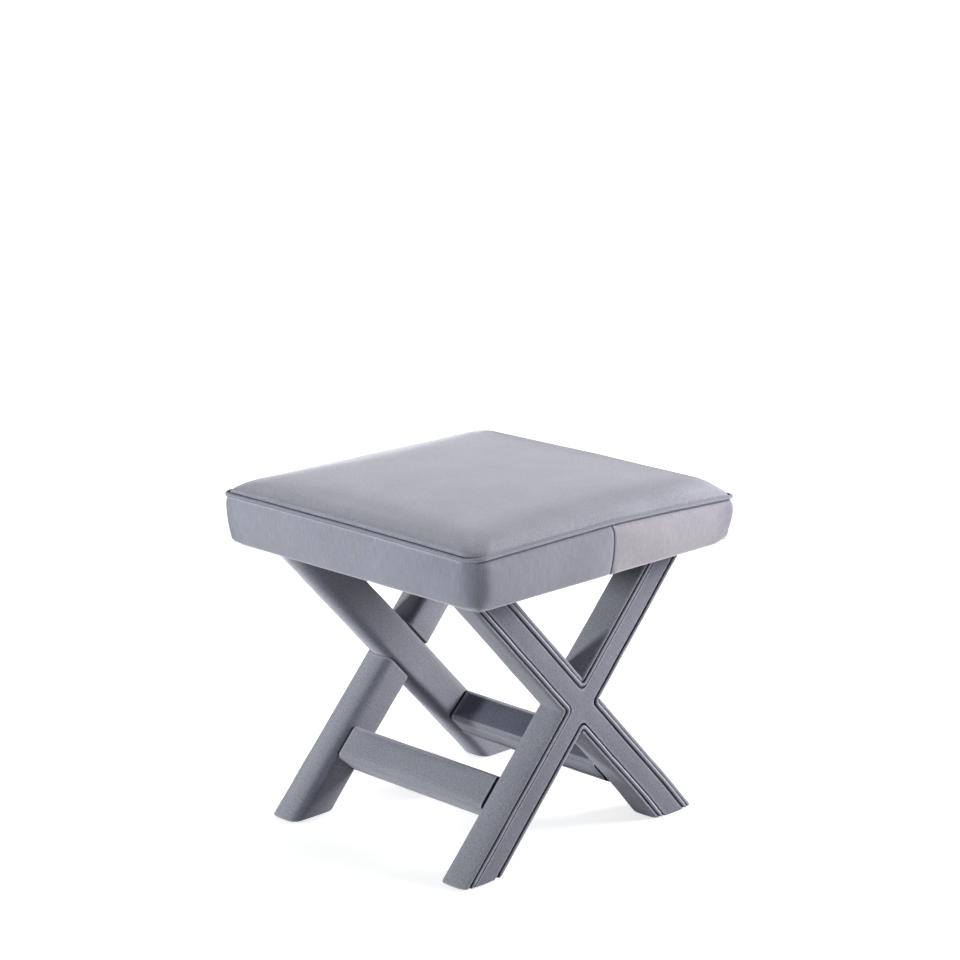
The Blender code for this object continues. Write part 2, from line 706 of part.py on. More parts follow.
def stretcher_core_mesh():
    """The wooden stretcher of the -X side, bored at both ends for its screws."""
    half = STRETCHER_CORE_SIDE / 2
    outline = [(-half, -half), (half, -half), (half, half), (-half, half)]
    bar = solid([stretcher_ring(outline, y) for y in (-STRETCHER_END, STRETCHER_END)])
    tip = STRETCHER_END - SCREW_GRIP_IN_STRETCHER - GAP
    hole = SCREW_DIAMETER / 2 + GAP
    cutters = []
    for side in (-1, 1):
        ends = sorted((side * tip, side * (STRETCHER_END + REACH)))
        cutters.append(solid(turned([(hole, y) for y in ends], axle(-STRETCHER_X, STRETCHER_HEIGHT))))
    return carved(bar, cutters)


def stretcher_cover_mesh():
    """The padded sleeve round a stretcher, open at both ends."""
    outside = square_outline(STRETCHER_HALF, STRETCHER_CORNER_RADIUS)
    inside = square_outline(STRETCHER_CORE_SIDE / 2 + GAP, LEAST_RADIUS)
    ends = (-STRETCHER_END, STRETCHER_END)
    rings = [stretcher_ring(outside, y) for y in ends] + [stretcher_ring(inside, y) for y in reversed(ends)]
    return solid(rings, closed=True)


def build_stretchers(root):
    core = stretcher_core_mesh()
    cover = stretcher_cover_mesh()
    for side, turn in (("left", 0.0), ("right", math.pi)):
        anchor = empty(f"{side}_stretcher", turn, root)
        place(f"{side}_stretcher_core", core, PINE, anchor)
        place(f"{side}_stretcher_cover", cover, VELVET, anchor)


def main():
    clear_scene()
    root = empty("bench")
    build_seat(root)
    build_frames(root)
    build_stretchers(root)


main()
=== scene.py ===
"""Looks of a square upholstered bench: velvet seat, welts and padded X-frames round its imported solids.

Metres, in the frame's own axes: +Z up, the origin on the floor under the middle of the seat. The
X-frames stand in planes of constant Y, and the camera looks from the -X -Y side.
"""

import math

import bmesh
import bpy
import numpy as np
from mathutils import Matrix, Vector, noise


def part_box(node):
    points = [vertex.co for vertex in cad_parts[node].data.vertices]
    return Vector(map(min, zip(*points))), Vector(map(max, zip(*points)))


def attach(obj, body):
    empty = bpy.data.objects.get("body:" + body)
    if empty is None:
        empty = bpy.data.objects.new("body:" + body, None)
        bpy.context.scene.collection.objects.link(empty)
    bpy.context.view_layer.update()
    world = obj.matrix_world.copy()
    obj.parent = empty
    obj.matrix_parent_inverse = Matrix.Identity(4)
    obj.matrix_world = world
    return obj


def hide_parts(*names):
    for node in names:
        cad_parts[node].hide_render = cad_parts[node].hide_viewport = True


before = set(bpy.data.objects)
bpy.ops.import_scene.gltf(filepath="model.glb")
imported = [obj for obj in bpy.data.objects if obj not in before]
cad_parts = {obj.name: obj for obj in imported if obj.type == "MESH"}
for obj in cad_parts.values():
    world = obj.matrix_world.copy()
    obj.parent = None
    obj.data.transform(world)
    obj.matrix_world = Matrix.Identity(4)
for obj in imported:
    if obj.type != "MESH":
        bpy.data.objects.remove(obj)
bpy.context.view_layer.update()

# Sizes read from the frame
SEAT_LOW, SEAT_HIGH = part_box("seat_boxing_right")
WELT_LOW, WELT_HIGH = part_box("seat_welt")
COVER_LOW, COVER_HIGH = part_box("front_through_cover")
PANEL_LOW, PANEL_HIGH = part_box("front_face_panel")
FOAM_LOW, FOAM_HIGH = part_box("seat_foam")
DUST_LOW, DUST_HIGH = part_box("dust_cover")
GLIDE_LOW, GLIDE_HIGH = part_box("front_glide_through")
STRETCHER_LOW, STRETCHER_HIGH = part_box("left_stretcher_cover")
SEAT_HALF = SEAT_HIGH.x
SEAT_BOTTOM = SEAT_LOW.z
WELT_RADIUS = (WELT_HIGH.z - WELT_LOW.z) / 2
SEAM_HEIGHT = (WELT_HIGH.z + WELT_LOW.z) / 2
WELT_HALF = WELT_HIGH.x - WELT_RADIUS
CROWN_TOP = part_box("seat_top_cover")[1].z
LEG_BOTTOM = COVER_LOW.z
LEG_TOP = COVER_HIGH.z
FRAME_FACE = -PANEL_LOW.y
BAR_DEPTH = COVER_HIGH.y + FRAME_FACE
PANEL_THICKNESS = PANEL_HIGH.y - PANEL_LOW.y
FOOT_X = -(GLIDE_LOW.x + GLIDE_HIGH.x) / 2
STRETCHER_X = -(STRETCHER_LOW.x + STRETCHER_HIGH.x) / 2
STRETCHER_Z = (STRETCHER_LOW.z + STRETCHER_HIGH.z) / 2
STRETCHER_END = STRETCHER_HIGH.y

# Sizes of the seat
FRAME_CORNER_REACH = 0.3245
CUSHION_FIRST_STEP = 0.0008
CUSHION_LONGEST_STEP = 0.0056
CUSHION_STEP_GROWTH = 1.17
CUSHION_STEP_REACH = 0.97
CUSHION_CORNER_EASE = 0.004
CUSHION_EASED_RADIUS = 0.022
CUSHION_EASE_REACH = 0.012
SEAM_ALLOWANCE = 0.0045
CUSHION_WALL = 0.0036
CUSHION_WALL_SHARE = 0.7
CUSHION_SETBACK = 0.0004
CUSHION_BULGE_REACH = 0.010
CROWN_SHARPNESS = 26
CORNER_SHARPNESS = 60
CROWN_DOME = 0.0045
CROWN_REST_SHARE = 0.45
FOAM_CLEARANCE = 0.0030
TOP_FABRIC = 0.0015
TOP_HELD_REACH = 0.007
WELT_STANDOFF = 0.0002
WELT_SLACK = 0.97
WELT_UNEVENNESS = 0.025
WELT_JOIN_SHIFT = 0.002
WELT_JOIN_PINCH = 0.20
WELT_JOIN_SWELL = 0.07
WELT_JOIN_SWELL_AT = 0.005
WELT_SHADE_ANGLE = math.radians(50)
BOXING_BELLY_DROP = 0.014
BOXING_DRAW_IN = 0.005
BOXING_ROLL_RADIUS = 0.0055
BOXING_PADDING = 0.0045
BOXING_EDGE_RADIUS = 0.0030
BOXING_FABRIC = 0.0012
BOXING_RIM_DROP = 0.0034
BOXING_TOP_DROP = 0.0016
BOXING_TOP_SETBACK = 0.0012
BOXING_TURN_IN = 0.0052
BOXING_TURN_UP = 0.0012
BOXING_INNER_RISE = 0.0008
BOXING_INNER_ROWS = 4
BOXING_SWAY_DROP = 0.02
BOXING_HELD_TOP = 0.006
BOXING_HELD_HEM = 0.004
BOXING_HELD_END = 0.004
EDGE_TUCK_SHARE = 0.75
TURN_TUCK_SHARE = 0.6
EDGE_SHADE_SPAN = (0.15, 0.45)
HEM_WIDTH = 0.012
HEM_LIGHT = 1.6
HEM_LIGHT_HEIGHT = 0.0016
BOXING_SEAM_X = 0.005
BOXING_SEAM_BOW = 0.0022
BOXING_SEAM_DEPTH = 0.0016
BOXING_SEAM_ROLL = 0.0030
SEAM_DIP_POWER = 1.5
SEAM_FIRST_SHARE = 0.0006
SEAM_NEAR_SHARE = 0.03
SEAM_SHADE = 0.9
SEAM_LIGHT = 1.1
SEAM_LIGHT_AT = 0.0030
PUCKER_START = 0.004
PUCKER_SLOPE = 0.55
PUCKER_RISE = 0.0011
LEAST_RADIUS = 0.001

# How the welt leans on each side of the seat, and how far its neighbours stand off: +X, +Y, -X, -Y
WELT_LEAN = [math.radians(a) for a in (10, 10, -16, 30)]
CUSHION_BULGE = (0.0010, 0.0010, 0.0022, 0.0004)
BOXING_TUCK = (0.0020, 0.0020, 0.0006, 0.0028)

# Painted shade and light by each side's seams (light where a shade is below zero), the distances over which
# the top's groove shade fades, and the hem's sag: +X, +Y, -X, -Y
TOP_GROOVE_SHADE = (1.0, 1.0, 1.0, 0.25)
TOP_GROOVE_START = (0.0013, 0.0013, 0.0013, 0.0015)
TOP_GROOVE_END = (0.0020, 0.0020, 0.0020, 0.0036)
TOP_ROLL_SHADE = (0.0, 0.0, 0.22, 0.0)
TOP_SHOULDER_LIGHT = (0.0, 0.0, 0.34, 0.16)
WELT_SHADE = (0.0, 0.2, 0.34, -0.45)
BOXING_GROOVE_SHADE = (0.9, 0.8, 0.9, 1.0)
BOXING_EDGE_SHADE = (0.3, 0.0, -1.5, 0.7)
HEM_SAG = (0.0, 0.0, 0.0, 0.0016)

# Distances from the top's seam over which its roll's shade and its shoulder's light change
TOP_ROLL_SPAN = (0.0030, 0.0100)
TOP_SHOULDER_START = (0.0060, 0.0140)
TOP_SHOULDER_END = (0.0200, 0.0480)

# Each seat corner's radius in plan and at the hem: +X +Y, -X +Y, -X -Y, +X -Y
CORNER_RADII = (0.020, 0.010, 0.030, 0.012)
CORNER_ROLLS = (0.008, 0.011, 0.010, 0.018)
CORNER_ROLL_REACH = 0.035
CORNER_MIDDLE = 0.70

# How far each seat corner droops at the welt and at the hem: +X +Y, -X +Y, -X -Y, +X -Y
WELT_DROOP = (0.0040, 0.0000, 0.0026, 0.0100)
HEM_DROOP = (0.0015, 0.0003, 0.0000, 0.0002)
DROOP_POWER = 1.3
DROOP_FADE = 0.038
# Painted shade down the boxing's corners and along the -X side towards the front corner, and how early its
# edge's painted light changes between sides
CORNER_SHADE = 0.235
CORNER_SHADE_WIDTHS = (0.015, 0.034)
CORNER_SHADE_SHIFT = 0.010
CORNER_SHADE_TOP = (0.004, -0.016)
SIDE_SHADE = 0.11
SIDE_SHADE_REACH = 0.34
EARLY_CHANGE = (0.0, 0.14)

# Sizes of the X-frames
CROSSING_HEIGHT = 0.1958
BAR_HALF = 0.0274
CORE_HALF = 0.0193
CORE_FACE = 0.0045
INNER_PADDING = 0.0062
SOFT_INNER_CORNER = (0.009, 0.014)
FIRM_INNER_CORNER = (0.008, 0.009)
LIP_INNER_RADIUS = 0.0016
LIP_CLEARANCE = 0.0005
LIP_START = 0.0004
LIP_DEEPEST_SHARE = 0.95
BED_HALF = 0.02105
COVER_BODY_START = 0.009
COVER_DRIFT = 0.00035
COVER_SWELL = 0.0011
COVER_SWELL_SPAN = (0.030, 0.085)
COVER_HELD_DEPTH = 0.012
COVER_HELD_REACH = 0.034
SIDE_SWELL = 0.0006
SIDE_SWELL_START = 0.006
SIDE_SWELL_MARGIN = 0.016
LAP_SINK = 0.97
LAP_SINK_SPAN = (0.0210, 0.0232)
LAP_CLEARANCE = 0.0002
GROOVE_TOP = 0.0010
GROOVE_BELOW = 0.001
GROOVE_WIDTH = 0.0011
FACE_WELT_RADIUS = 0.0027
FACE_WELT_OFFSET = 0.0176
FACE_WELT_DEPTH = 0.0012
FACE_WELT_END_PINCH = 0.35
FACE_WELT_JOIN_PINCH = 0.22
FACE_WELT_LIGHT = 1.9
FACE_WELT_LIGHT_AT = 0.60
WELT_END_RISE = 0.0003
NOTCH_RADIUS = 0.007
PANEL_HALF = 0.0143
PANEL_SETBACK = 0.0010
PANEL_EDGE_RADIUS = 0.0013
PANEL_FLANGE = 0.0009
PANEL_UNDERLAP = 0.0063
PANEL_FABRIC = 0.0003
PANEL_PILLOW = 0.0004
EDGE_LIGHT = 0.55
WOBBLE = 0.0006
WOBBLE_SCALE = 15.0
COPE_GAP = 0.0003
FOOT_DROP = 0.0022
FOOT_DROP_REACH = 0.05
BAR_ANGLE = math.atan2(CROSSING_HEIGHT - LEG_BOTTOM, FOOT_X)
BAR_COS = math.cos(BAR_ANGLE)
BAR_SIN = math.sin(BAR_ANGLE)

# The right and left lips of the covers: width and depth of the round edge, and its setback from the face
THROUGH_LIPS = ((0.0058, 0.0130, 0.0026), (0.0048, 0.0150, 0.0004))
LAPPED_LIPS = ((0.0038, 0.0080, 0.0004), (0.0038, 0.0080, 0.0004))

# The ends of the covers: reach of the roll, share it draws in, and light along its rim
FOOT_END = (0.0032, 0.32, 0.35)
COPED_END = (0.0020, 0.22, 0.5)
OPEN_END = (0.0, 0.0, 0.0)

# Shades and lights along the X-frames, and the depths, heights or distances over which they change
WEAK_FLANK_SHADE = 0.3
RIGHT_FLANK_SPAN = (0.0006, 0.0024)
LEFT_FLANK_SPAN = (-0.0010, 0.0010)
END_SHADE = 0.8
RIM_AT = 0.0020
UNPAINTED = 0.2
RIDGE_SHADE = 0.38
RIDGE_WIDTH = 0.0062
RIDGE_SHARE = 0.3
LIP_LIGHT_DEPTH = 0.0140
LIP_LIGHT_START = 0.0015
UPPER_FACE_LIGHT = 0.5
UPPER_FACE_SPAN = (0.03, 0.06)
FACE_MARGIN = 0.001
PANEL_SHADE_SPAN = (0.0004, 0.0011)
PANEL_LOW_SHADE = 0.14
PANEL_LOW_SPAN = (0.03, 0.30)
PANEL_HIGH_SHADE = 0.23
PANEL_HIGH_SPAN = (0.27, 0.38)

# Sizes and shades of the stretchers
STRETCHER_HALF = 0.0245
STRETCHER_CORE_HALF = 0.0183
STRETCHER_RADII = (0.0065, 0.0065, 0.0065, 0.0100)
STRETCHER_END_ROLL = 0.0012
STRETCHER_END_DRAW = 0.28
STRETCHER_BODY_START = 0.010
STRETCHER_DRIFT = 0.0003
STRETCHER_HELD_END = 0.006
LAP_WIDTH = 0.0065
LAP_LINE_SHARE = 1.02
LAP_STEP = 0.0009
LAP_SHADE = 0.9
PAINTED_FACE_SHADE = 0.55
PAINTED_FACE_LIGHT = 1.05
LOW_FACE_LIGHT = 0.40
TOP_EDGE_LIGHT = 0.7
BODY_SHADE_SPAN = (0.0070, 0.0120)
END_SHADOW_REACHES = (0.0016, 0.0044)
END_SHADOW_FADE = 0.0008
END_LIGHT = 0.7
END_LIGHT_AT = 0.0020

# Sag of the dust cover
DUST_SAG = 0.0022
DUST_SAG_SPAN = (0.06, 0.125)
DUST_EDGE_REACH = 0.06

# Colours and strengths of the finishes
TOP_GREY = (0.352, 0.352, 0.400)
NEAR_GREY = (0.270, 0.273, 0.318)
FAR_GREY = (0.360, 0.342, 0.378)
BAR_GREY = (0.250, 0.253, 0.294)
# Darker than the bars' grey: partly the panel's nap, partly painted shade for its place under the seat
PANEL_GREY = (0.210, 0.213, 0.250)
PINE = (0.60, 0.42, 0.24)
WHITE = (1.0, 1.0, 1.0, 1.0)
COOL_NAP = (0.97, 0.985, 1.035, 1.0)
WARM_NAP = (1.035, 1.012, 0.97, 1.0)
# The bluish tint and the depth of painted shade, and the gain of painted light
PAINTED_SHADE_TINT = (0.90, 0.95, 1.16, 1.0)
PAINTED_SHADE_DEPTH = 0.94
PAINTED_LIGHT_GAIN = 0.45
CLOUD_SWING = 0.14
PILE_SWING = 0.22
ROUGHNESS_SWING = 0.12
FINE_GRAIN = 7.0
FLOOR_REACH = 14.0

# Mesh steps
SIDE_STEPS = 88
CORNER_STEPS = 12
ARM_STEPS = 35
BAR_STEP = 0.006
COVER_END_ROWS = (0.0, 0.0006, 0.0012, 0.0020, 0.0030, 0.0044)
STRETCHER_END_ROWS = (0.0, 0.0008, 0.0016, 0.0026, 0.0036, 0.0046, 0.0054, 0.0062, 0.0070, 0.0080)
WELT_SIDES = 14
DUST_POINTS = 61
CLOTH_FRAMES = 20
NOISE_STEPS = (7.31, 3.17, 5.53)
ROUNDING = 1e-6
FACE_TOLERANCE = 1e-5
TINY = 1e-9

THROUGH = 1
LAPPED = -1
LIP_LIGHT = {THROUGH: 2.2, LAPPED: 0.35}
HALF_TURN = math.pi


# Meshes

def quads(rows, columns, wrap_rows=False, wrap_columns=False):
    """Faces over a grid of points, closed round its rows or columns where asked."""
    index = np.arange(rows * columns).reshape(rows, columns)
    if wrap_rows:
        index = np.vstack([index, index[:1]])
    if wrap_columns:
        index = np.hstack([index, index[:, :1]])
    corners = (index[:-1, :-1], index[:-1, 1:], index[1:, 1:], index[1:, :-1])
    return np.stack(corners, axis=-1).reshape(-1, 4).tolist()


def new_mesh(name, points, faces, nap, painted_shade):
    """A mesh with the nap's own coordinates and a value of painted shade on each point, which is painted
    light where below zero.
    """
    mesh = bpy.data.meshes.new(name)
    mesh.from_pydata(np.asarray(points).reshape(-1, 3).tolist(), [], faces)
    lay = mesh.attributes.new("nap", "FLOAT_VECTOR", "POINT")
    lay.data.foreach_set("vector", np.asarray(nap, np.float32).ravel())
    # The painted shade and light that the velvet reads
    painted = mesh.attributes.new("painted_shade", "FLOAT", "POINT")
    painted.data.foreach_set("value", np.asarray(painted_shade, np.float32).ravel())
    shape = bmesh.new()
    shape.from_mesh(mesh)
    bmesh.ops.remove_doubles(shape, verts=shape.verts[:], dist=ROUNDING)
    bmesh.ops.recalc_face_normals(shape, faces=shape.faces[:])
    shape.to_mesh(mesh)
    shape.free()
    mesh.shade_smooth()
    return mesh


def coordinates(mesh):
    flat = np.empty(len(mesh.vertices) * 3, np.float32)
    mesh.vertices.foreach_get("co", flat)
    return flat.reshape(-1, 3).astype(float)


def set_coordinates(mesh, points):
    mesh.vertices.foreach_set("co", np.asarray(points, np.float32).ravel())
    mesh.update()


def dress(name, mesh, finish, nodes, turn=0.0):
    """A velvet piece that rides on the bench and stands for the CAD nodes it covers."""
    piece = new_object(name, mesh)
    piece.rotation_euler.z = turn
    mesh.materials.append(finish)
    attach(piece, "root")
    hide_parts(*nodes)
    return piece


def new_object(name, data):
    made = bpy.data.objects.new(name, data)
    bpy.context.collection.objects.link(made)
    return made


def add_skin(piece, thickness):
    """Gives a single layer of points its thickness, inward from the face."""
    skin = piece.modifiers.new("skin", "SOLIDIFY")
    skin.thickness = thickness
    skin.offset = -1.0


def end_caps(rows, columns):
    """The two faces that close the ends of a tube of points."""
    last = (rows - 1) * columns
    return [list(range(columns))[::-1], list(range(last, last + columns))]


def ripple(points, scale, seed):
    """Smooth noise from -1 to 1 at each point."""
    shift = Vector([seed * step for step in NOISE_STEPS])
    return np.array([noise.noise(Vector(p) * scale + shift) for p in np.asarray(points).reshape(-1, 3)])


def waver(path, amount, scale, seed):
    """A small wander for each point of a path, as a column."""
    return (amount * ripple(path, scale, seed))[:, None]


def raised(plan, height):
    """Plan points, or directions, with that third coordinate."""
    return np.concatenate([plan, np.full((len(plan), 1), height)], axis=1)


def nap_of(across, along):
    """The fabric's own coordinates: across its nap and along it."""
    across, along = np.broadcast_arrays(across, along)
    return np.stack([across, np.zeros_like(along), along], axis=-1)


def smooth_step(low, high, value):
    share = np.clip((value - low) / (high - low), 0.0, 1.0)
    return share * share * (3 - 2 * share)


def bell(distance, width):
    """A smooth bump: 1 at no distance, and almost nothing at twice the width."""
    return np.exp(-(distance / width) ** 2)


def lengths(path):
    """Distances along a path of points from its start."""
    return np.concatenate([[0.0], np.cumsum(np.linalg.norm(np.diff(path, axis=0), axis=1))])


def inflate(piece, held, pressure, cap):
    """How far each point moves as cloth under pressure: held ones stay, others go about cap at most."""
    rest = coordinates(piece.data)
    group = piece.vertex_groups.new(name="held")
    group.add(np.flatnonzero(held).tolist(), 1.0, "REPLACE")
    cloth = piece.modifiers.new("cloth", "CLOTH")
    cloth.settings.vertex_group_mass = group.name
    cloth.settings.use_pressure = True
    cloth.settings.uniform_pressure_force = pressure
    cloth.settings.effector_weights.gravity = 0.0
    cloth.point_cache.frame_start = 1
    cloth.point_cache.frame_end = CLOTH_FRAMES
    for number in range(1, CLOTH_FRAMES + 1):
        bpy.context.scene.frame_set(number)
    seen = piece.evaluated_get(bpy.context.evaluated_depsgraph_get())
    moved = coordinates(seen.data) - rest
    piece.modifiers.remove(cloth)
    piece.vertex_groups.remove(group)
    bpy.context.scene.frame_set(1)
    length = np.maximum(np.linalg.norm(moved, axis=1, keepdims=True), TINY)
    return moved * cap * np.tanh(length / cap) / length


def swell_up(piece, held, pressure, cap):
    """Inflates a piece and keeps its new shape."""
    moved = inflate(piece, held.ravel(), pressure, cap)
    set_coordinates(piece.data, coordinates(piece.data) + moved)


# Seat

def by_side(normals, values, change=(0.0, 1.0)):
    """A value for each point by which side its outward normal faces: +X, +Y, -X, -Y.

    It changes from a side's value to the next one's between those shares of the turn.
    """
    turn = np.arctan2(normals[..., 1], normals[..., 0]) / (math.pi / 2) % 4
    start = np.floor(turn + ROUNDING)
    first = start.astype(int) % 4
    share = smooth_step(*change, np.clip(turn - start, 0.0, 1.0))
    values = np.array(values)
    return values[first] * (1 - share) + values[(first + 1) % 4] * share


def droop(points, amounts):
    """How far each point sinks: most at the seat's corners, and none at the middle of a side."""
    x, y = points[..., 0] / SEAT_HALF, points[..., 1] / SEAT_HALF
    return np.array(amounts)[which_corner(x, y)] * np.minimum(np.abs(x * y), 1.0) ** DROOP_POWER


def which_corner(x, y):
    """The seat corner that a point is nearest to: 0 to 3 from +X +Y round to +X -Y."""
    return np.where(x > 0, np.where(y > 0, 0, 3), np.where(y > 0, 1, 2))


def corner_radius(half, corner):
    """Corner radius of a plan ring of that half size: concentric, and clear of the seat frame's corner."""
    clear = (half * math.sqrt(2) - FRAME_CORNER_REACH) / (math.sqrt(2) - 1)
    radius = CORNER_RADII[corner] - (SEAT_HALF - half)
    return max(min(radius, clear), LEAST_RADIUS)


def corner_arc(quarter):
    """Normals round one corner; quarter 0 is at +X +Y, and they go round anticlockwise."""
    angles = (quarter + np.linspace(0.0, 1.0, CORNER_STEPS + 1)) * math.pi / 2
    return np.stack([np.cos(angles), np.sin(angles)], axis=1)


def plan_corner(half, quarter, corner):
    """Points and normals round a quarter of a plan ring, with the radius of that seat corner."""
    radius = corner_radius(half, corner)
    normals = corner_arc(quarter)
    middle = np.sign(normals[CORNER_STEPS // 2]) * (half - radius)
    return middle + radius * normals, normals


def plan_loop(half):
    """A closed rounded square in plan, as points and outward normals."""
    corners = [plan_corner(half, quarter, quarter) for quarter in range(4)]
    points, normals = [], []
    for quarter in range(4):
        around, outward = corners[quarter]
        points.append(around)
        normals.append(outward)
        start, end = around[-1], corners[(quarter + 1) % 4][0][0]
        shares = np.arange(1, SIDE_STEPS)[:, None] / SIDE_STEPS
        points.append(start + (end - start) * shares)
        normals.append(np.repeat(outward[-1:], SIDE_STEPS - 1, axis=0))
    return np.concatenate(points), np.concatenate(normals)


def cushion_steps():
    """Distances over the cushion from its seam to its middle, close together near the seam."""
    steps, step = [0.0], CUSHION_FIRST_STEP
    while steps[-1] < WELT_HALF * CUSHION_STEP_REACH:
        steps.append(steps[-1] + step)
        step = min(step * CUSHION_STEP_GROWTH, CUSHION_LONGEST_STEP)
    return np.array(steps)


def cushion_grid(edge, dome):
    """Points, distances from the seam and normals on a grid over the crowned top."""
    steps = cushion_steps()
    inset = steps - CUSHION_WALL * (1 - np.exp(-steps / CUSHION_WALL))
    inset *= edge / inset[-1]
    count = 2 * len(steps) - 1
    line = np.concatenate([inset - edge, (edge - inset[:-1])[::-1]])
    ring = np.minimum(np.arange(count), count - 1 - np.arange(count))
    x, y = np.meshgrid(line, line, indexing="ij")
    depth = np.minimum(*np.meshgrid(ring, ring, indexing="ij"))
    half = edge - inset[depth]
    from_seam = steps[depth]
    sharp = np.maximum(np.array(CORNER_RADII) - (SEAT_HALF - edge), LEAST_RADIUS)
    eased = np.maximum(sharp + CUSHION_CORNER_EASE, CUSHION_EASED_RADIUS)
    corner = which_corner(x, y)
    radius = sharp[corner] + (eased - sharp)[corner] * smooth_step(0.0, CUSHION_EASE_REACH, from_seam)
    radius = np.minimum(radius, half)
    flat = half - radius
    nearer = np.minimum(abs(x), abs(y))
    over = np.clip(nearer - flat, 0.0, None)
    angle = np.where(radius > 0, over / np.maximum(radius, TINY), 0.0) * math.pi / 4
    along_x = abs(x) >= abs(y)
    long_side = np.where(over > 0, flat + radius * np.cos(angle), half)
    short_side = np.where(over > 0, flat + radius * np.sin(angle), nearer)
    px = np.where(along_x, long_side, short_side) * np.sign(x)
    py = np.where(along_x, short_side, long_side) * np.sign(y)
    nx = np.where(along_x, np.cos(angle), np.sin(angle)) * np.sign(x)
    ny = np.where(along_x, np.sin(angle), np.cos(angle)) * np.sign(y)
    normals = np.stack([nx, ny], axis=-1)
    shoulder = CROWN_TOP - SEAM_HEIGHT - CROWN_DOME - CUSHION_WALL
    across, along = np.minimum(abs(px) / edge, 1.0), np.minimum(abs(py) / edge, 1.0)
    rise = shoulder * (1 - (half / edge) ** CROWN_SHARPNESS)
    rise *= 1 - np.minimum(across, along) ** CORNER_SHARPNESS
    rise += CROWN_DOME * dome * (1 - across ** 2) * (1 - along ** 2)
    rise += CUSHION_WALL * (1 - np.exp(-from_seam / (CUSHION_WALL_SHARE * CUSHION_WALL)))
    swell = np.sin(math.pi * np.clip(from_seam / CUSHION_BULGE_REACH, 0.0, 1.0)) ** 2
    bulge = by_side(normals, CUSHION_BULGE) * swell
    points = np.stack([px + nx * bulge, py + ny * bulge, SEAM_HEIGHT + rise], axis=-1)
    points[..., 2] -= droop(points, WELT_DROOP) * (1 - smooth_step(0.0, DROOP_FADE, from_seam))
    return points, from_seam, normals


def build_seat_top(finish):
    """The crowned top panel: swollen as cloth from its seam, to the height of the CAD crown."""
    edge = WELT_HALF - WELT_RADIUS - CUSHION_SETBACK
    share = CROWN_REST_SHARE
    points, from_seam, normals = cushion_grid(edge, share)
    points[..., 2] -= SEAM_ALLOWANCE * (from_seam == 0)
    count = points.shape[0]
    # Painted shade in the groove along the seam and on the -X side's roll, and painted light on the -X and
    # -Y shoulders
    start, end = by_side(normals, TOP_GROOVE_START), by_side(normals, TOP_GROOVE_END)
    painted_shade = by_side(normals, TOP_GROOVE_SHADE) * (1 - smooth_step(start, end, from_seam))
    roll_shade = by_side(normals, TOP_ROLL_SHADE) * (1 - smooth_step(*TOP_ROLL_SPAN, from_seam))
    shoulder = smooth_step(*TOP_SHOULDER_START, from_seam) * (1 - smooth_step(*TOP_SHOULDER_END, from_seam))
    painted_shade = np.maximum(painted_shade, roll_shade) - by_side(normals, TOP_SHOULDER_LIGHT) * shoulder
    mesh = new_mesh("seat_top_velvet", points, quads(count, count), points, painted_shade)
    piece = dress("seat_top_velvet", mesh, finish, ["seat_top_cover"])
    if mesh.polygons[len(mesh.polygons) // 2].normal.z < 0:
        mesh.flip_normals()
    moved = inflate(piece, from_seam.ravel() < TOP_HELD_REACH, pressure=5.0, cap=0.006)
    shape = coordinates(mesh) + moved
    rest_top = points[..., 2].max()
    shape = coordinates(mesh) + moved * (CROWN_TOP - rest_top) / (shape[:, 2].max() - rest_top)
    set_coordinates(mesh, shape)
    finer = piece.modifiers.new("finer", "SUBSURF")
    finer.levels = 1
    finer.render_levels = 1
    add_skin(piece, TOP_FABRIC)


def build_seat_foam(finish):
    """The foam under the top panel: the same crown, a little smaller, on a straight-sided block."""
    points = cushion_grid(FOAM_HIGH.x, 0.0)[0]
    points[..., 2] -= FOAM_CLEARANCE
    count = points.shape[0]
    index = np.arange(count * count).reshape(count, count)
    loop = np.concatenate([index[0, :-1], index[:-1, -1], index[-1, :0:-1], index[:0:-1, 0]]).tolist()
    low = points.reshape(-1, 3)[loop]
    low[:, 2] = FOAM_LOW.z
    first = count * count
    below = list(range(first, first + len(low)))
    faces = quads(count, count)
    for i in range(len(loop)):
        j = (i + 1) % len(loop)
        faces.append((loop[i], loop[j], below[j], below[i]))
    faces.append(below)
    whole = np.concatenate([points.reshape(-1, 3), low])
    mesh = new_mesh("seat_foam_block", whole, faces, whole, np.zeros(len(whole)))
    piece = dress("seat_foam_block", mesh, finish, ["seat_foam"])


def tube(path, outward, upward, radius, closed=True):
    """A round cord along a path; outward and upward are its section's two directions at each point."""
    angles = np.linspace(0.0, 2 * math.pi, WELT_SIDES, endpoint=False)
    across = np.cos(angles)[None, :, None] * outward[:, None, :]
    ring = across + np.sin(angles)[None, :, None] * upward[:, None, :]
    points = path[:, None, :] + ring * np.asarray(radius).reshape(-1, 1, 1)
    faces = quads(len(path), WELT_SIDES, closed, True)
    if not closed:
        faces += end_caps(len(path), WELT_SIDES)
    return points, faces, nap_of(angles * WELT_RADIUS, lengths(path)[:, None])


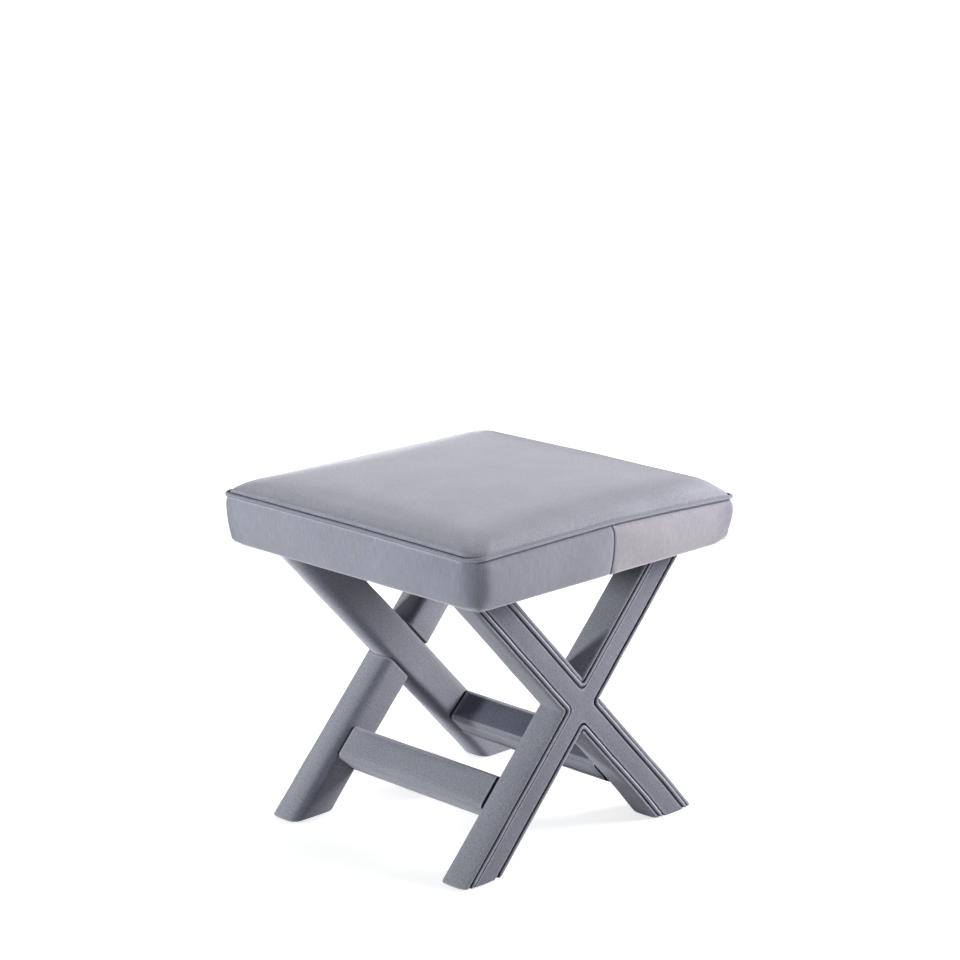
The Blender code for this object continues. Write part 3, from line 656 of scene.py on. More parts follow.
def build_seat_welt(finish):
    """The covered cord round the top edge, leaning as the seam pulls it, with one join at the front."""
    plan, normals = plan_loop(WELT_HALF - WELT_RADIUS)
    lean = by_side(normals, WELT_LEAN)
    outward = raised(normals, 0.0)
    upward = np.tile(np.array([0.0, 0.0, 1.0]), (len(normals), 1))
    reach = WELT_RADIUS + WELT_STANDOFF
    path = raised(plan, SEAM_HEIGHT)
    path[:, 2] -= droop(path, WELT_DROOP)
    path += outward * (reach * np.cos(lean))[:, None] + upward * (reach * np.sin(lean))[:, None]
    path += outward * waver(path, amount=0.00030, scale=28.0, seed=1)
    path += upward * waver(path, amount=0.00035, scale=22.0, seed=2)
    radius = WELT_RADIUS * (WELT_SLACK + WELT_UNEVENNESS * ripple(path, scale=60.0, seed=3))
    at_front = path[:, 1] < 0
    to_join = np.abs(path[:, 0] - BOXING_SEAM_X - WELT_JOIN_SHIFT)
    pinch = WELT_JOIN_PINCH * bell(to_join, width=0.0016) * at_front
    swell = WELT_JOIN_SWELL * bell(to_join - WELT_JOIN_SWELL_AT, width=0.003) * at_front
    radius *= 1 - pinch + swell
    points, faces, nap = tube(path, outward, upward, radius)
    # Painted shade on the welt's lower outer side, and painted light there on the -Y side
    angles = np.linspace(0.0, 2 * math.pi, WELT_SIDES, endpoint=False)
    below = np.clip(np.cos(angles + WELT_SHADE_ANGLE), 0.0, 1.0) ** 2
    painted_shade = by_side(normals, WELT_SHADE)[:, None] * below
    mesh = new_mesh("seat_welt_velvet", points, faces, nap, painted_shade)
    dress("seat_welt_velvet", mesh, finish, ["seat_welt"])


def boxing_profile(roll_radius):
    """The boxing's section as (half size, height, tuck share, painted groove shade), from under the welt to
    the hem.
    """
    belly = SEAM_HEIGHT - BOXING_BELLY_DROP
    roll = SEAT_BOTTOM + roll_radius
    edge_top = SEAM_HEIGHT - BOXING_TOP_DROP
    rows = [(SEAT_HALF - BOXING_TURN_IN, edge_top + BOXING_TURN_UP, TURN_TUCK_SHARE, 1.0)]
    for share in np.linspace(0.0, 1.0, 6):
        turn = share * math.pi / 2
        out = SEAT_HALF - BOXING_TOP_SETBACK - BOXING_EDGE_RADIUS * (1 - math.sin(turn))
        height = edge_top - BOXING_EDGE_RADIUS * (1 - math.cos(turn))
        painted = 1 - smooth_step(*EDGE_SHADE_SPAN, share)
        rows.append((out, height, 1.0 - (1 - EDGE_TUCK_SHARE) * share, painted))
    top = rows[-1][1]
    for share in np.linspace(0.0, 1.0, 5)[1:]:
        left = (1 - share) ** 2
        height = top + (belly - top) * share
        rows.append((SEAT_HALF - BOXING_TOP_SETBACK * left, height, EDGE_TUCK_SHARE * left, 0.0))
    for share in np.linspace(0.0, 1.0, 11)[1:]:
        height = belly + (roll - belly) * share
        rows.append((SEAT_HALF - BOXING_DRAW_IN * share ** 2, height, 0.0, 0.0))
    middle = SEAT_HALF - BOXING_DRAW_IN - roll_radius
    for share in np.linspace(0.0, 1.0, 7)[1:]:
        turn = share * math.pi / 2
        out = middle + roll_radius * math.cos(turn)
        rows.append((out, roll - roll_radius * math.sin(turn), 0.0, 0.0))
    inner = SEAT_HALF - BOXING_DRAW_IN - BOXING_PADDING
    hem_top = SEAT_BOTTOM + BOXING_FABRIC
    rows.append((middle - HEM_WIDTH, SEAT_BOTTOM, 0.0, 0.0))
    rows.append((middle - HEM_WIDTH, hem_top, 0.0, 0.0))
    rows.append((inner, hem_top, 0.0, 0.0))
    rows.append((inner, edge_top + BOXING_INNER_RISE, 0.0, 0.0))
    return rows


def seam_x(height):
    """X of the boxing's seam at a height: bowed out along the belly."""
    middle = (SEAM_HEIGHT + SEAT_BOTTOM) / 2
    share = (height - middle) / (SEAM_HEIGHT - middle)
    return BOXING_SEAM_X + BOXING_SEAM_BOW * (0.5 - share * share)


def boxing_run(half, height, corners):
    """Half of a plan ring, from the front seam round the +X side to the back seam."""
    front, front_normals = plan_corner(half, 3, corners[0])
    back, back_normals = plan_corner(half, 0, corners[1])
    near = np.geomspace(SEAM_FIRST_SHARE, 1.0, 12)[:-1]
    near = near[near < SEAM_NEAR_SHARE]
    shares = np.concatenate([[0.0], near, np.linspace(SEAM_NEAR_SHARE, 1.0, SIDE_STEPS // 2)])[:-1, None]
    start = np.array([seam_x(height) + COPE_GAP / 2, -half])
    end = np.array([COPE_GAP / 2 - seam_x(height), half])
    first = start + (front[0] - start) * shares
    last = back[-1] + (end - back[-1]) * (1 - shares)[::-1]
    middle = front[-1] + (back[0] - front[-1]) * np.linspace(0.0, 1.0, SIDE_STEPS + 1)[1:-1, None]
    points = np.concatenate([first, front, middle, back, last])
    normals = np.concatenate([
        np.repeat(front_normals[:1], len(first), axis=0), front_normals,
        np.repeat(front_normals[-1:], len(middle), axis=0), back_normals,
        np.repeat(back_normals[-1:], len(last), axis=0)])
    return points, normals


def boxing_grid(rows, corners):
    """Points of half the boxing, for each place along it and each row of its section."""
    columns = [raised(boxing_run(half, height, corners)[0], height) for half, height, *_ in rows]
    return np.stack(columns, axis=1)


def build_boxing(name, turn, finish, node):
    """Half of the boxing: bellied, drawn in and rolled under, with its ends turned into the seams."""
    corners = (1, 2) if turn else (3, 0)
    rows = boxing_profile(BOXING_ROLL_RADIUS)
    height, tucked, painted_dark = np.array(rows).T[1:]
    outside = (np.arange(len(rows)) < len(rows) - BOXING_INNER_ROWS).astype(float)
    above_hem = height - SEAT_BOTTOM
    plan, normals = boxing_run(SEAT_HALF, SEAM_HEIGHT - BOXING_BELLY_DROP, corners)
    length = lengths(plan)
    to_end = np.minimum(length, length[-1] - length)
    turned = np.abs(normals).min(axis=1) > CORNER_MIDDLE
    at_corners = (length[turned].min(), length[turned].max())
    plain_grid = boxing_grid(rows, corners)
    grid = plain_grid.copy()
    for corner, at in zip(corners, at_corners):
        rolled = boxing_grid(boxing_profile(CORNER_ROLLS[corner]), corners)
        share = 1 - smooth_step(0.0, CORNER_ROLL_REACH, np.abs(length - at))
        grid += (rolled - plain_grid) * share[:, None, None]
    swing = np.array([[math.cos(turn), math.sin(turn)], [-math.sin(turn), math.cos(turn)]])
    facing = normals @ swing
    tuck = by_side(facing, BOXING_TUCK)[:, None] * tucked
    dip = BOXING_SEAM_DEPTH * np.exp(-(to_end / BOXING_SEAM_ROLL) ** SEAM_DIP_POWER)[:, None] * outside
    sway = waver(raised(plan, 0.0), amount=0.00045, scale=26.0, seed=5 + turn) * outside
    sway = sway * smooth_step(SEAM_HEIGHT, SEAM_HEIGHT - BOXING_SWAY_DROP, height)
    pucker = bell(length[:, None] - PUCKER_START - PUCKER_SLOPE * above_hem, width=0.0032)
    pucker = PUCKER_RISE * pucker * bell(above_hem, width=0.017)
    grid[..., :2] += normals[:, None, :] * (sway - tuck - dip + pucker * outside)[..., None]
    order = [2, 3, 0, 1] if turn else [0, 1, 2, 3]
    high_share = smooth_step(SEAT_BOTTOM, SEAM_HEIGHT, height)
    grid[..., 2] -= droop(grid, np.array(WELT_DROOP)[order]) * high_share
    grid[..., 2] -= droop(grid, np.array(HEM_DROOP)[order]) * (1 - high_share) * outside
    grid[..., 2] -= by_side(facing, HEM_SAG)[:, None] * (1 - high_share) * outside
    # Painted shade in the groove under the welt, and painted light or shade along the rim of the boxing's
    # top edge
    painted_shade = by_side(facing, BOXING_GROOVE_SHADE)[:, None] * painted_dark
    rim = bell(height - SEAM_HEIGHT + BOXING_RIM_DROP, width=0.0009) * outside
    painted_shade += by_side(facing, BOXING_EDGE_SHADE, EARLY_CHANGE)[:, None] * rim * (painted_shade < 0.5)
    # Painted shade along the seams at both ends, and a painted light line beside the front seam
    seam = SEAM_SHADE * bell(to_end, width=0.0012)[:, None] * outside
    if not turn:
        seam = seam - SEAM_LIGHT * bell(length - SEAM_LIGHT_AT, width=0.0010)[:, None] * outside
    painted_shade = np.where(np.abs(seam) > np.abs(painted_shade), seam, painted_shade)
    # Painted shade down each corner, and fading along the -X side towards the front corner
    to_corner = np.minimum(*[np.abs(length - at + CORNER_SHADE_SHIFT) for at in at_corners])
    width = np.interp(height, (SEAT_BOTTOM, SEAM_HEIGHT), CORNER_SHADE_WIDTHS[::-1])
    band = CORNER_SHADE * bell(to_corner[:, None], width) * outside
    band = band * smooth_step(*CORNER_SHADE_TOP, height - SEAM_HEIGHT)
    before = np.clip(at_corners[1] - length, 0.0, None)
    fading = SIDE_SHADE * (1 - smooth_step(0.0, SIDE_SHADE_REACH, before)) * (length < at_corners[1])
    band = np.maximum(band, fading[:, None] * outside * (turn > 0))
    painted_shade = np.where(band > np.abs(painted_shade), band, painted_shade)
    # Painted light along the roll just above the hem
    lit_edge = bell(above_hem - HEM_LIGHT_HEIGHT, width=0.0012) * outside
    painted_shade = painted_shade - HEM_LIGHT * lit_edge * (painted_shade < 0.3)
    nap = nap_of(length[:, None], lengths(np.array(rows)[:, :2]))
    faces = quads(len(plan), len(rows), False, True) + end_caps(len(plan), len(rows))
    mesh = new_mesh(name, grid, faces, nap, painted_shade)
    piece = dress(name, mesh, finish, [node], turn=turn)
    loose = (height < SEAM_HEIGHT - BOXING_HELD_TOP) & (height > SEAT_BOTTOM + BOXING_HELD_HEM)
    held = ~np.broadcast_to(loose & (outside > 0), painted_shade.shape) | (to_end < BOXING_HELD_END)[:, None]
    swell_up(piece, held, pressure=3.0, cap=0.0016)


# X-frames: every mesh is made for the -Y frame

def along_at_height(rise, u, height):
    """Distance along a bar from the crossing where a line at u across it meets a height."""
    return (height - CROSSING_HEIGHT + rise * BAR_COS * u) / BAR_SIN


def bar_points(rise, u, v, along):
    """Points of the -Y frame at u across a bar, v inward from the face and a distance along it."""
    x = BAR_SIN * u + rise * BAR_COS * along
    z = CROSSING_HEIGHT - rise * BAR_COS * u + BAR_SIN * along
    return np.stack([x, v - FRAME_FACE, z], axis=-1)


def arc_points(centre, radius, start, end, steps):
    angles = np.linspace(start, end, steps + 1)
    return np.stack([centre[0] + radius * np.cos(angles), centre[1] + radius * np.sin(angles)], axis=1)


def even(line, count):
    """The same line with that many evenly spaced points."""
    length = lengths(line)
    at = np.linspace(0.0, length[-1], count)
    return np.stack([np.interp(at, length, line[:, i]) for i in range(line.shape[1])], axis=1)


def both_sides(right, left):
    """A right half section and the mirror image of a left one, in one line from right to left."""
    return np.concatenate([right, (left * np.array([-1.0, 1.0]))[::-1][1:]])


def cover_half(lip_size, corner_size):
    """Half of a padded cover's outside, from its lip to the middle of its inner face."""
    wide, deep, top = lip_size
    inner = LIP_INNER_RADIUS
    lip = arc_points((BED_HALF + inner, top + inner), inner, math.pi, math.pi * 1.5, 5)[:-1]
    lip[:, 1] = np.minimum(lip[:, 1], CORE_FACE - LIP_CLEARANCE)
    edge = arc_points((0.0, 0.0), 1.0, -math.pi / 2, 0.0, 10) * np.array((wide, deep))
    edge += np.array([BAR_HALF - wide, top + deep])
    corner = arc_points((0.0, 0.0), 1.0, 0.0, math.pi / 2, 10) * np.array(corner_size)
    corner += np.array([BAR_HALF - corner_size[0], BAR_DEPTH - corner_size[1]])
    side = np.linspace(edge[-1], corner[0], 7)[1:-1]
    face = np.linspace(corner[-1], (0.0, BAR_DEPTH), 6)[1:]
    start = np.array([[BED_HALF, CORE_FACE - LIP_START]])
    return np.concatenate([start, lip, edge, side, corner, face])


def cover_outside(rise):
    """A cover's outside from its right lip round the inner face to its left lip."""
    lips = THROUGH_LIPS if rise == THROUGH else LAPPED_LIPS
    left_corner = FIRM_INNER_CORNER if rise == THROUGH else SOFT_INNER_CORNER
    return both_sides(cover_half(lips[0], SOFT_INNER_CORNER), cover_half(lips[1], left_corner))


def cover_inside(count):
    """The pocket round the core, with as many points as the outside."""
    back = BAR_DEPTH - INNER_PADDING
    right = np.array([(BED_HALF, CORE_FACE), (CORE_HALF, CORE_FACE), (CORE_HALF, back), (0.0, back)])
    half = even(right, count // 2 + 1)
    return both_sides(half, half)


def through_half(v, lip_size, corner_size):
    """Half width of the cover that runs through, at a depth: it narrows at its lip and its inner corner."""
    wide, deep, top = lip_size
    before = np.clip((top + deep - v) / deep, 0.0, LIP_DEEPEST_SHARE)
    past = np.minimum(v, BAR_DEPTH - INNER_PADDING) - (BAR_DEPTH - corner_size[1])
    past = np.clip(past / corner_size[1], 0.0, 1.0)
    half = BAR_HALF - wide * (1 - np.sqrt(1 - before * before))
    return half - corner_size[0] * (1 - np.sqrt(1 - past * past))


def cover_grid(low, high, ends):
    """Places along a cover between its two ends, which are distances along for each section point.

    The outside draws in towards the pocket over the roll at each end.
    """
    long = float((high - low).mean())
    count = max(int(long / BAR_STEP), 4)
    body = np.linspace(COVER_BODY_START, long - COVER_BODY_START, count)
    at = np.concatenate([COVER_END_ROWS, body, long - np.array(COVER_END_ROWS[::-1])]) / long
    along = low + (high - low) * at[:, None]
    drawn, rim = np.zeros(len(at)), np.zeros(len(at))
    for distance, (roll, depth, light) in zip((at * long, (1 - at) * long), ends):
        if roll > 0:
            left = np.clip(1 - distance / roll, 0.0, 1.0)
            drawn = np.maximum(drawn, depth * (1 - np.sqrt(1 - left * left)))
            rim = np.maximum(rim, light * bell(distance - RIM_AT, width=0.0008))
    return along, at, drawn, rim


def build_cover_mesh(name, rise, low_of, high_of, ends):
    """A padded cover: its outside and its pocket, closed at both ends."""
    outside = cover_outside(rise)
    count = len(outside)
    inside = cover_inside(count)
    u, v = np.concatenate([outside, inside[::-1]]).T
    inner_u, inner_v = np.concatenate([inside, inside[::-1]]).T
    low, high = low_of(u, v), high_of(u, v)
    along, at, drawn, rim = cover_grid(low, high, ends)
    is_outside = np.arange(2 * count) < count
    pull = drawn[:, None] * is_outside
    uu = u * (1 - pull) + inner_u * pull
    vv = v * (1 - pull) + inner_v * pull
    depth_share = np.clip((v - SIDE_SWELL_START) / (BAR_DEPTH - SIDE_SWELL_MARGIN), 0.0, 1.0)
    swell = np.sin(math.pi * depth_share) * SIDE_SWELL
    uu = uu + np.sign(uu) * swell * is_outside * (1 - drawn[:, None])
    along = along + (low_of(uu, vv) - low) * (1 - at)[:, None] + (high_of(uu, vv) - high) * at[:, None]
    if rise == THROUGH:
        across_other = -uu * math.cos(2 * BAR_ANGLE) + along * math.sin(2 * BAR_ANGLE)
        sink = LAP_SINK - LAP_SINK * smooth_step(*LAP_SINK_SPAN, np.abs(across_other))
        vv = np.where(vv < CORE_FACE, vv + (CORE_FACE - LAP_CLEARANCE - vv) * sink, vv)
    points = bar_points(rise, uu, vv, along)
    drift = ripple(points, scale=34.0, seed=11 + rise).reshape(uu.shape) * COVER_DRIFT * is_outside
    points[..., 0] += drift * BAR_SIN * np.sign(uu) * (np.abs(u) > BED_HALF)
    points[..., 2] -= drift * rise * BAR_COS * np.sign(uu) * (np.abs(u) > BED_HALF)
    girth = lengths(outside)
    girth = np.concatenate([girth, girth[::-1]])
    # Painted shade in the groove inside each lip, weaker on the right, and on the drawn-in ends; painted
    # light along the ends' rims
    groove = (v > GROOVE_TOP) & (v < CORE_FACE + GROOVE_BELOW) & (np.abs(u) < BED_HALF + GROOVE_WIDTH)
    painted_shade = np.where(groove, np.where(u > 0, WEAK_FLANK_SHADE, 1.0), 0.0) * np.ones_like(along)
    end_shade = smooth_step(0.2, 0.8, drawn / max(drawn.max(), TINY))[:, None] * END_SHADE
    painted_shade = np.maximum(painted_shade, end_shade)
    painted_shade -= rim[:, None] * is_outside * (painted_shade < UNPAINTED)
    # Painted shade along the inner ridge, and painted light on the right lips and the lapped covers' upper
    # inner faces
    ridge_depth = BAR_DEPTH - RIDGE_SHARE * SOFT_INNER_CORNER[1]
    ridge_at = girth[np.argmin(np.abs(outside[:count // 2, 1] - ridge_depth))]
    ridge = RIDGE_SHADE * bell(girth - ridge_at, RIDGE_WIDTH)
    lip = LIP_LIGHT[rise] * bell(v - LIP_LIGHT_DEPTH, width=0.0120) * (u > BED_HALF + LIP_LIGHT_START)
    upper = UPPER_FACE_LIGHT * (rise == LAPPED) * smooth_step(*UPPER_FACE_SPAN, along)
    upper = upper * (v > BAR_DEPTH - FACE_MARGIN)
    painted_shade += (ridge - lip - upper) * is_outside * (np.abs(painted_shade) < UNPAINTED)
    faces = quads(len(at), 2 * count, False, True)
    for row in (0, len(at) - 1):
        first = row * 2 * count
        for i in range(count - 1):
            faces.append((first + i, first + i + 1, first + 2 * count - 2 - i, first + 2 * count - 1 - i))
    mesh = new_mesh(name, points, faces, nap_of(girth, along), painted_shade)
    loose = is_outside & (v > COVER_HELD_DEPTH)
    to_crossing = np.abs(along)
    held = ~np.broadcast_to(loose, along.shape) | (drawn > 0)[:, None] | (to_crossing < COVER_HELD_REACH)
    caps = COVER_SWELL * smooth_step(*COVER_SWELL_SPAN, to_crossing) + ROUNDING
    return mesh, held, caps.reshape(-1, 1)


def lowered(points):
    """The front lapped foot's points, which reach a little lower than the others'."""
    near_foot = (1 - smooth_step(0.0, FOOT_DROP_REACH, points[:, 2] - LEG_BOTTOM)) * (points[:, 0] > 0)
    return points - np.array([0.0, 0.0, FOOT_DROP]) * near_foot[:, None]


def build_covers(finish):
    """Both frames' covers: one that runs through, and two halves coped against it."""
    slant = math.cos(2 * BAR_ANGLE)
    spread = math.sin(2 * BAR_ANGLE)

    def at_foot(rise):
        return lambda u, v: along_at_height(rise, u, LEG_BOTTOM)

    def at_top(rise):
        return lambda u, v: along_at_height(rise, u, LEG_TOP)

    def above_through(u, v):
        return (through_half(v, THROUGH_LIPS[1], FIRM_INNER_CORNER) + COPE_GAP - u * slant) / spread

    def below_through(u, v):
        return -(through_half(v, THROUGH_LIPS[0], SOFT_INNER_CORNER) + COPE_GAP + u * slant) / spread

    kinds = {
        "through_cover": (THROUGH, at_foot(THROUGH), at_top(THROUGH), (FOOT_END, OPEN_END)),
        "lapped_cover_upper": (LAPPED, above_through, at_top(LAPPED), (COPED_END, OPEN_END)),
        "lapped_cover_lower": (LAPPED, at_foot(LAPPED), below_through, (FOOT_END, COPED_END)),
    }
    for kind, (rise, low_of, high_of, ends) in kinds.items():
        mesh, held, caps = build_cover_mesh(kind, rise, low_of, high_of, ends)
        front = dress(f"front_{kind}_velvet", mesh, finish, [f"front_{kind}"])
        swell_up(front, held, pressure=3.0, cap=caps)
        back = mesh.copy()
        if kind == "lapped_cover_lower":
            set_coordinates(mesh, lowered(coordinates(mesh)))
        dress(f"back_{kind}_velvet", back, finish, [f"back_{kind}"], HALF_TURN)


def notch_edge(quarter, offset, radius, foot=LEG_BOTTOM):
    """X and Z along the X's edge in one notch, from the arm before it to the arm after it."""
    half_angle = BAR_ANGLE if quarter in (0, 2) else math.pi / 2 - BAR_ANGLE
    turn = quarter * math.pi / 2
    outward = np.array([math.cos(turn), math.sin(turn)])
    sideways = np.array([-outward[1], outward[0]])
    centre = (offset + radius) / math.sin(half_angle) * outward + np.array([0.0, CROSSING_HEIGHT])
    sweep = math.pi / 2 - half_angle
    bend = arc_points(centre, radius, turn + math.pi + sweep, turn + math.pi - sweep, CORNER_STEPS)
    arms = []
    for side, near in ((-1, bend[0]), (1, bend[-1])):
        arm = outward * math.cos(half_angle) + side * sideways * math.sin(half_angle)
        height = LEG_TOP if arm[1] > 0 else foot
        end = near + arm * (height - near[1]) / arm[1]
        shares = np.linspace(0.0, 1.0, ARM_STEPS)[1:, None]
        arms.append(near + (end - near) * shares)
    return np.concatenate([arms[0][::-1], bend, arms[1]])


def wobble(points):
    """The same small hand-made wander for a welt and the panel's edge beside it."""
    across = ripple(points, WOBBLE_SCALE, seed=61).reshape(points.shape[:-1])
    upward = ripple(points, WOBBLE_SCALE, seed=62).reshape(points.shape[:-1])
    return WOBBLE * np.stack([across, np.zeros_like(across), upward], axis=-1)


def face_welt_mesh(quarter):
    """The V-shaped welt of one notch, with a join at the top notch's turn."""
    low_end = LEG_BOTTOM + WELT_END_RISE
    line = notch_edge(quarter, FACE_WELT_OFFSET, NOTCH_RADIUS, low_end)
    path = np.stack([line[:, 0], np.full(len(line), FACE_WELT_DEPTH - FRAME_FACE), line[:, 1]], axis=1)
    ahead = np.gradient(path, axis=0)
    ahead /= np.linalg.norm(ahead, axis=1, keepdims=True)
    upward = np.tile(np.array([0.0, -1.0, 0.0]), (len(path), 1))
    outward = np.cross(ahead, upward)
    path += wobble(path)
    path += outward * waver(path, amount=0.00028, scale=30.0, seed=21 + quarter)
    path += upward * waver(path, amount=0.00022, scale=34.0, seed=31 + quarter)
    radius = FACE_WELT_RADIUS * (1 + WELT_UNEVENNESS * ripple(path, scale=70.0, seed=41 + quarter))
    radius *= 1 - FACE_WELT_END_PINCH * bell(path[:, 2] - low_end, width=0.0018)
    if quarter == 1:
        length = lengths(path)
        from_join = length - length[len(path) // 2] - WELT_JOIN_SHIFT
        radius *= 1 - FACE_WELT_JOIN_PINCH * bell(from_join, width=0.0012)
    points, faces, nap = tube(path, outward, upward, radius, closed=False)
    points[..., 2] = np.maximum(points[..., 2], low_end)
    if quarter in (0, 3):
        points = lowered(points.reshape(-1, 3)).reshape(points.shape)
    # Painted shade on the welt's left flank, weaker on its right flank, and a painted highlight along its
    # crown
    deep = points[..., 1] + FRAME_FACE
    facing = (points[..., 0] - path[:, None, 0]) / radius[:, None]
    right = smooth_step(-0.3, 0.4, facing)
    painted_shade = smooth_step(*LEFT_FLANK_SPAN, deep) * (1 - right)
    painted_shade += smooth_step(*RIGHT_FLANK_SPAN, deep) * right * WEAK_FLANK_SHADE
    painted_shade -= FACE_WELT_LIGHT * bell(facing - FACE_WELT_LIGHT_AT, width=0.30) * (deep < RIGHT_FLANK_SPAN[0])
    return new_mesh("face_welt", points, faces, nap, painted_shade)


def face_panel_mesh():
    """The X-shaped panel: four notch-side parts that meet on the bars' axes, rolled at the edge."""
    turn = np.linspace(0.0, math.pi / 2, 6)
    rolled = PANEL_SETBACK + PANEL_EDGE_RADIUS * (1 - np.cos(turn))
    across = np.linspace(rolled[-1], PANEL_HALF, 6)[1:]
    fabric = PANEL_THICKNESS - PANEL_FABRIC
    insets = np.concatenate([[-PANEL_UNDERLAP, -PANEL_UNDERLAP, 0.0, PANEL_SETBACK], rolled, across])
    edge_depth = [PANEL_THICKNESS, fabric, fabric, PANEL_THICKNESS - PANEL_FLANGE]
    depth = np.concatenate([edge_depth, PANEL_EDGE_RADIUS * (1 - np.sin(turn)), np.zeros(len(across))])
    depth -= PANEL_PILLOW * smooth_step(rolled[-1], PANEL_HALF, insets)
    points, faces, painted_shade = [], [], []
    for quarter in range(4):
        start = sum(len(p) for p in points)
        rows = []
        for inset, v in zip(insets, depth):
            share = max(inset, 0.0) / PANEL_HALF
            radius = (NOTCH_RADIUS + FACE_WELT_RADIUS) * (1 - share) + min(inset, 0.0)
            line = notch_edge(quarter, PANEL_HALF - inset, radius)
            row = np.stack([line[:, 0], np.full(len(line), v - FRAME_FACE), line[:, 1]], axis=1)
            loose = 0.0 if inset < 0 else 1 - smooth_step(0.2, 0.9, share)
            rows.append(row + loose * wobble(row))
        floor_line = rows[-1].copy()
        floor_line[:, 1] = PANEL_THICKNESS - FRAME_FACE
        rows.append(floor_line)
        grid = np.stack(rows)
        cells = quads(len(rows) - 1, grid.shape[1])
        under = (len(rows) - 1) * grid.shape[1]
        for i in range(grid.shape[1] - 1):
            cells.append((i + 1, i, under + i, under + i + 1))
        points.append(grid.reshape(-1, 3))
        faces += [[start + i for i in cell] for cell in cells]
        # Painted shade where the edge rolls under, weaker on edges that face left, and painted light on the
        # roll
        outward = grid[2] - grid[-2]
        right = smooth_step(-0.3, 0.3, outward[:, 0] / np.linalg.norm(outward, axis=1))
        flank = WEAK_FLANK_SHADE + (1 - WEAK_FLANK_SHADE) * right
        light = EDGE_LIGHT * bell(insets - rolled[-1], width=0.0011) * (depth < PANEL_SHADE_SPAN[0])
        deep = smooth_step(*PANEL_SHADE_SPAN, depth)[:, None] * flank - light[:, None]
        deep = np.concatenate([deep, np.zeros((1, grid.shape[1]))])
        # Painted shadow of the seat towards the top, and darker towards the bottom
        low = PANEL_LOW_SHADE * (1 - smooth_step(*PANEL_LOW_SPAN, grid[..., 2]))
        high = PANEL_HIGH_SHADE * smooth_step(*PANEL_HIGH_SPAN, grid[..., 2])
        painted_shade.append((deep + (low + high) * (deep < 0.5)).ravel())
    points = lowered(np.concatenate(points))
    return new_mesh("face_panel", points, faces, points, np.concatenate(painted_shade))


def build_faces(panel_finish, welt_finish):
    """Both frames' X-shaped panels and the welts round them."""
    sides = (("front", 0.0), ("back", HALF_TURN))
    panel = face_panel_mesh()
    for side, turn in sides:
        node = f"{side}_face_panel"
        dress(f"{node}_velvet", panel.copy(), panel_finish, [node], turn)
    for quarter, notch in enumerate(("right", "top", "left", "bottom")):
        welt = face_welt_mesh(quarter)
        for side, turn in sides:
            node = f"{side}_face_welt_{notch}"
            dress(f"{node}_velvet", welt.copy(), welt_finish, [node], turn)


# Stretchers

def square_section(half, radii, shares):
    """A square with round corners, and points at those shares of the length of each side."""
    points = []
    for quarter in range(4):
        turn = quarter * math.pi / 2
        radius = radii[quarter]
        spread = (half - radius) * math.sqrt(2)
        centre = (spread * math.cos(turn + math.pi / 4), spread * math.sin(turn + math.pi / 4))
        corner = arc_points(centre, radius, turn, turn + math.pi / 2, 8)
        points.append(corner)
        start = corner[-1]
        side = np.array([-math.sin(turn + math.pi / 2), math.cos(turn + math.pi / 2)])
        length = 2 * half - radius - radii[(quarter + 1) % 4]
        points.append(start + side * length * shares[:, None])
    return np.concatenate(points)


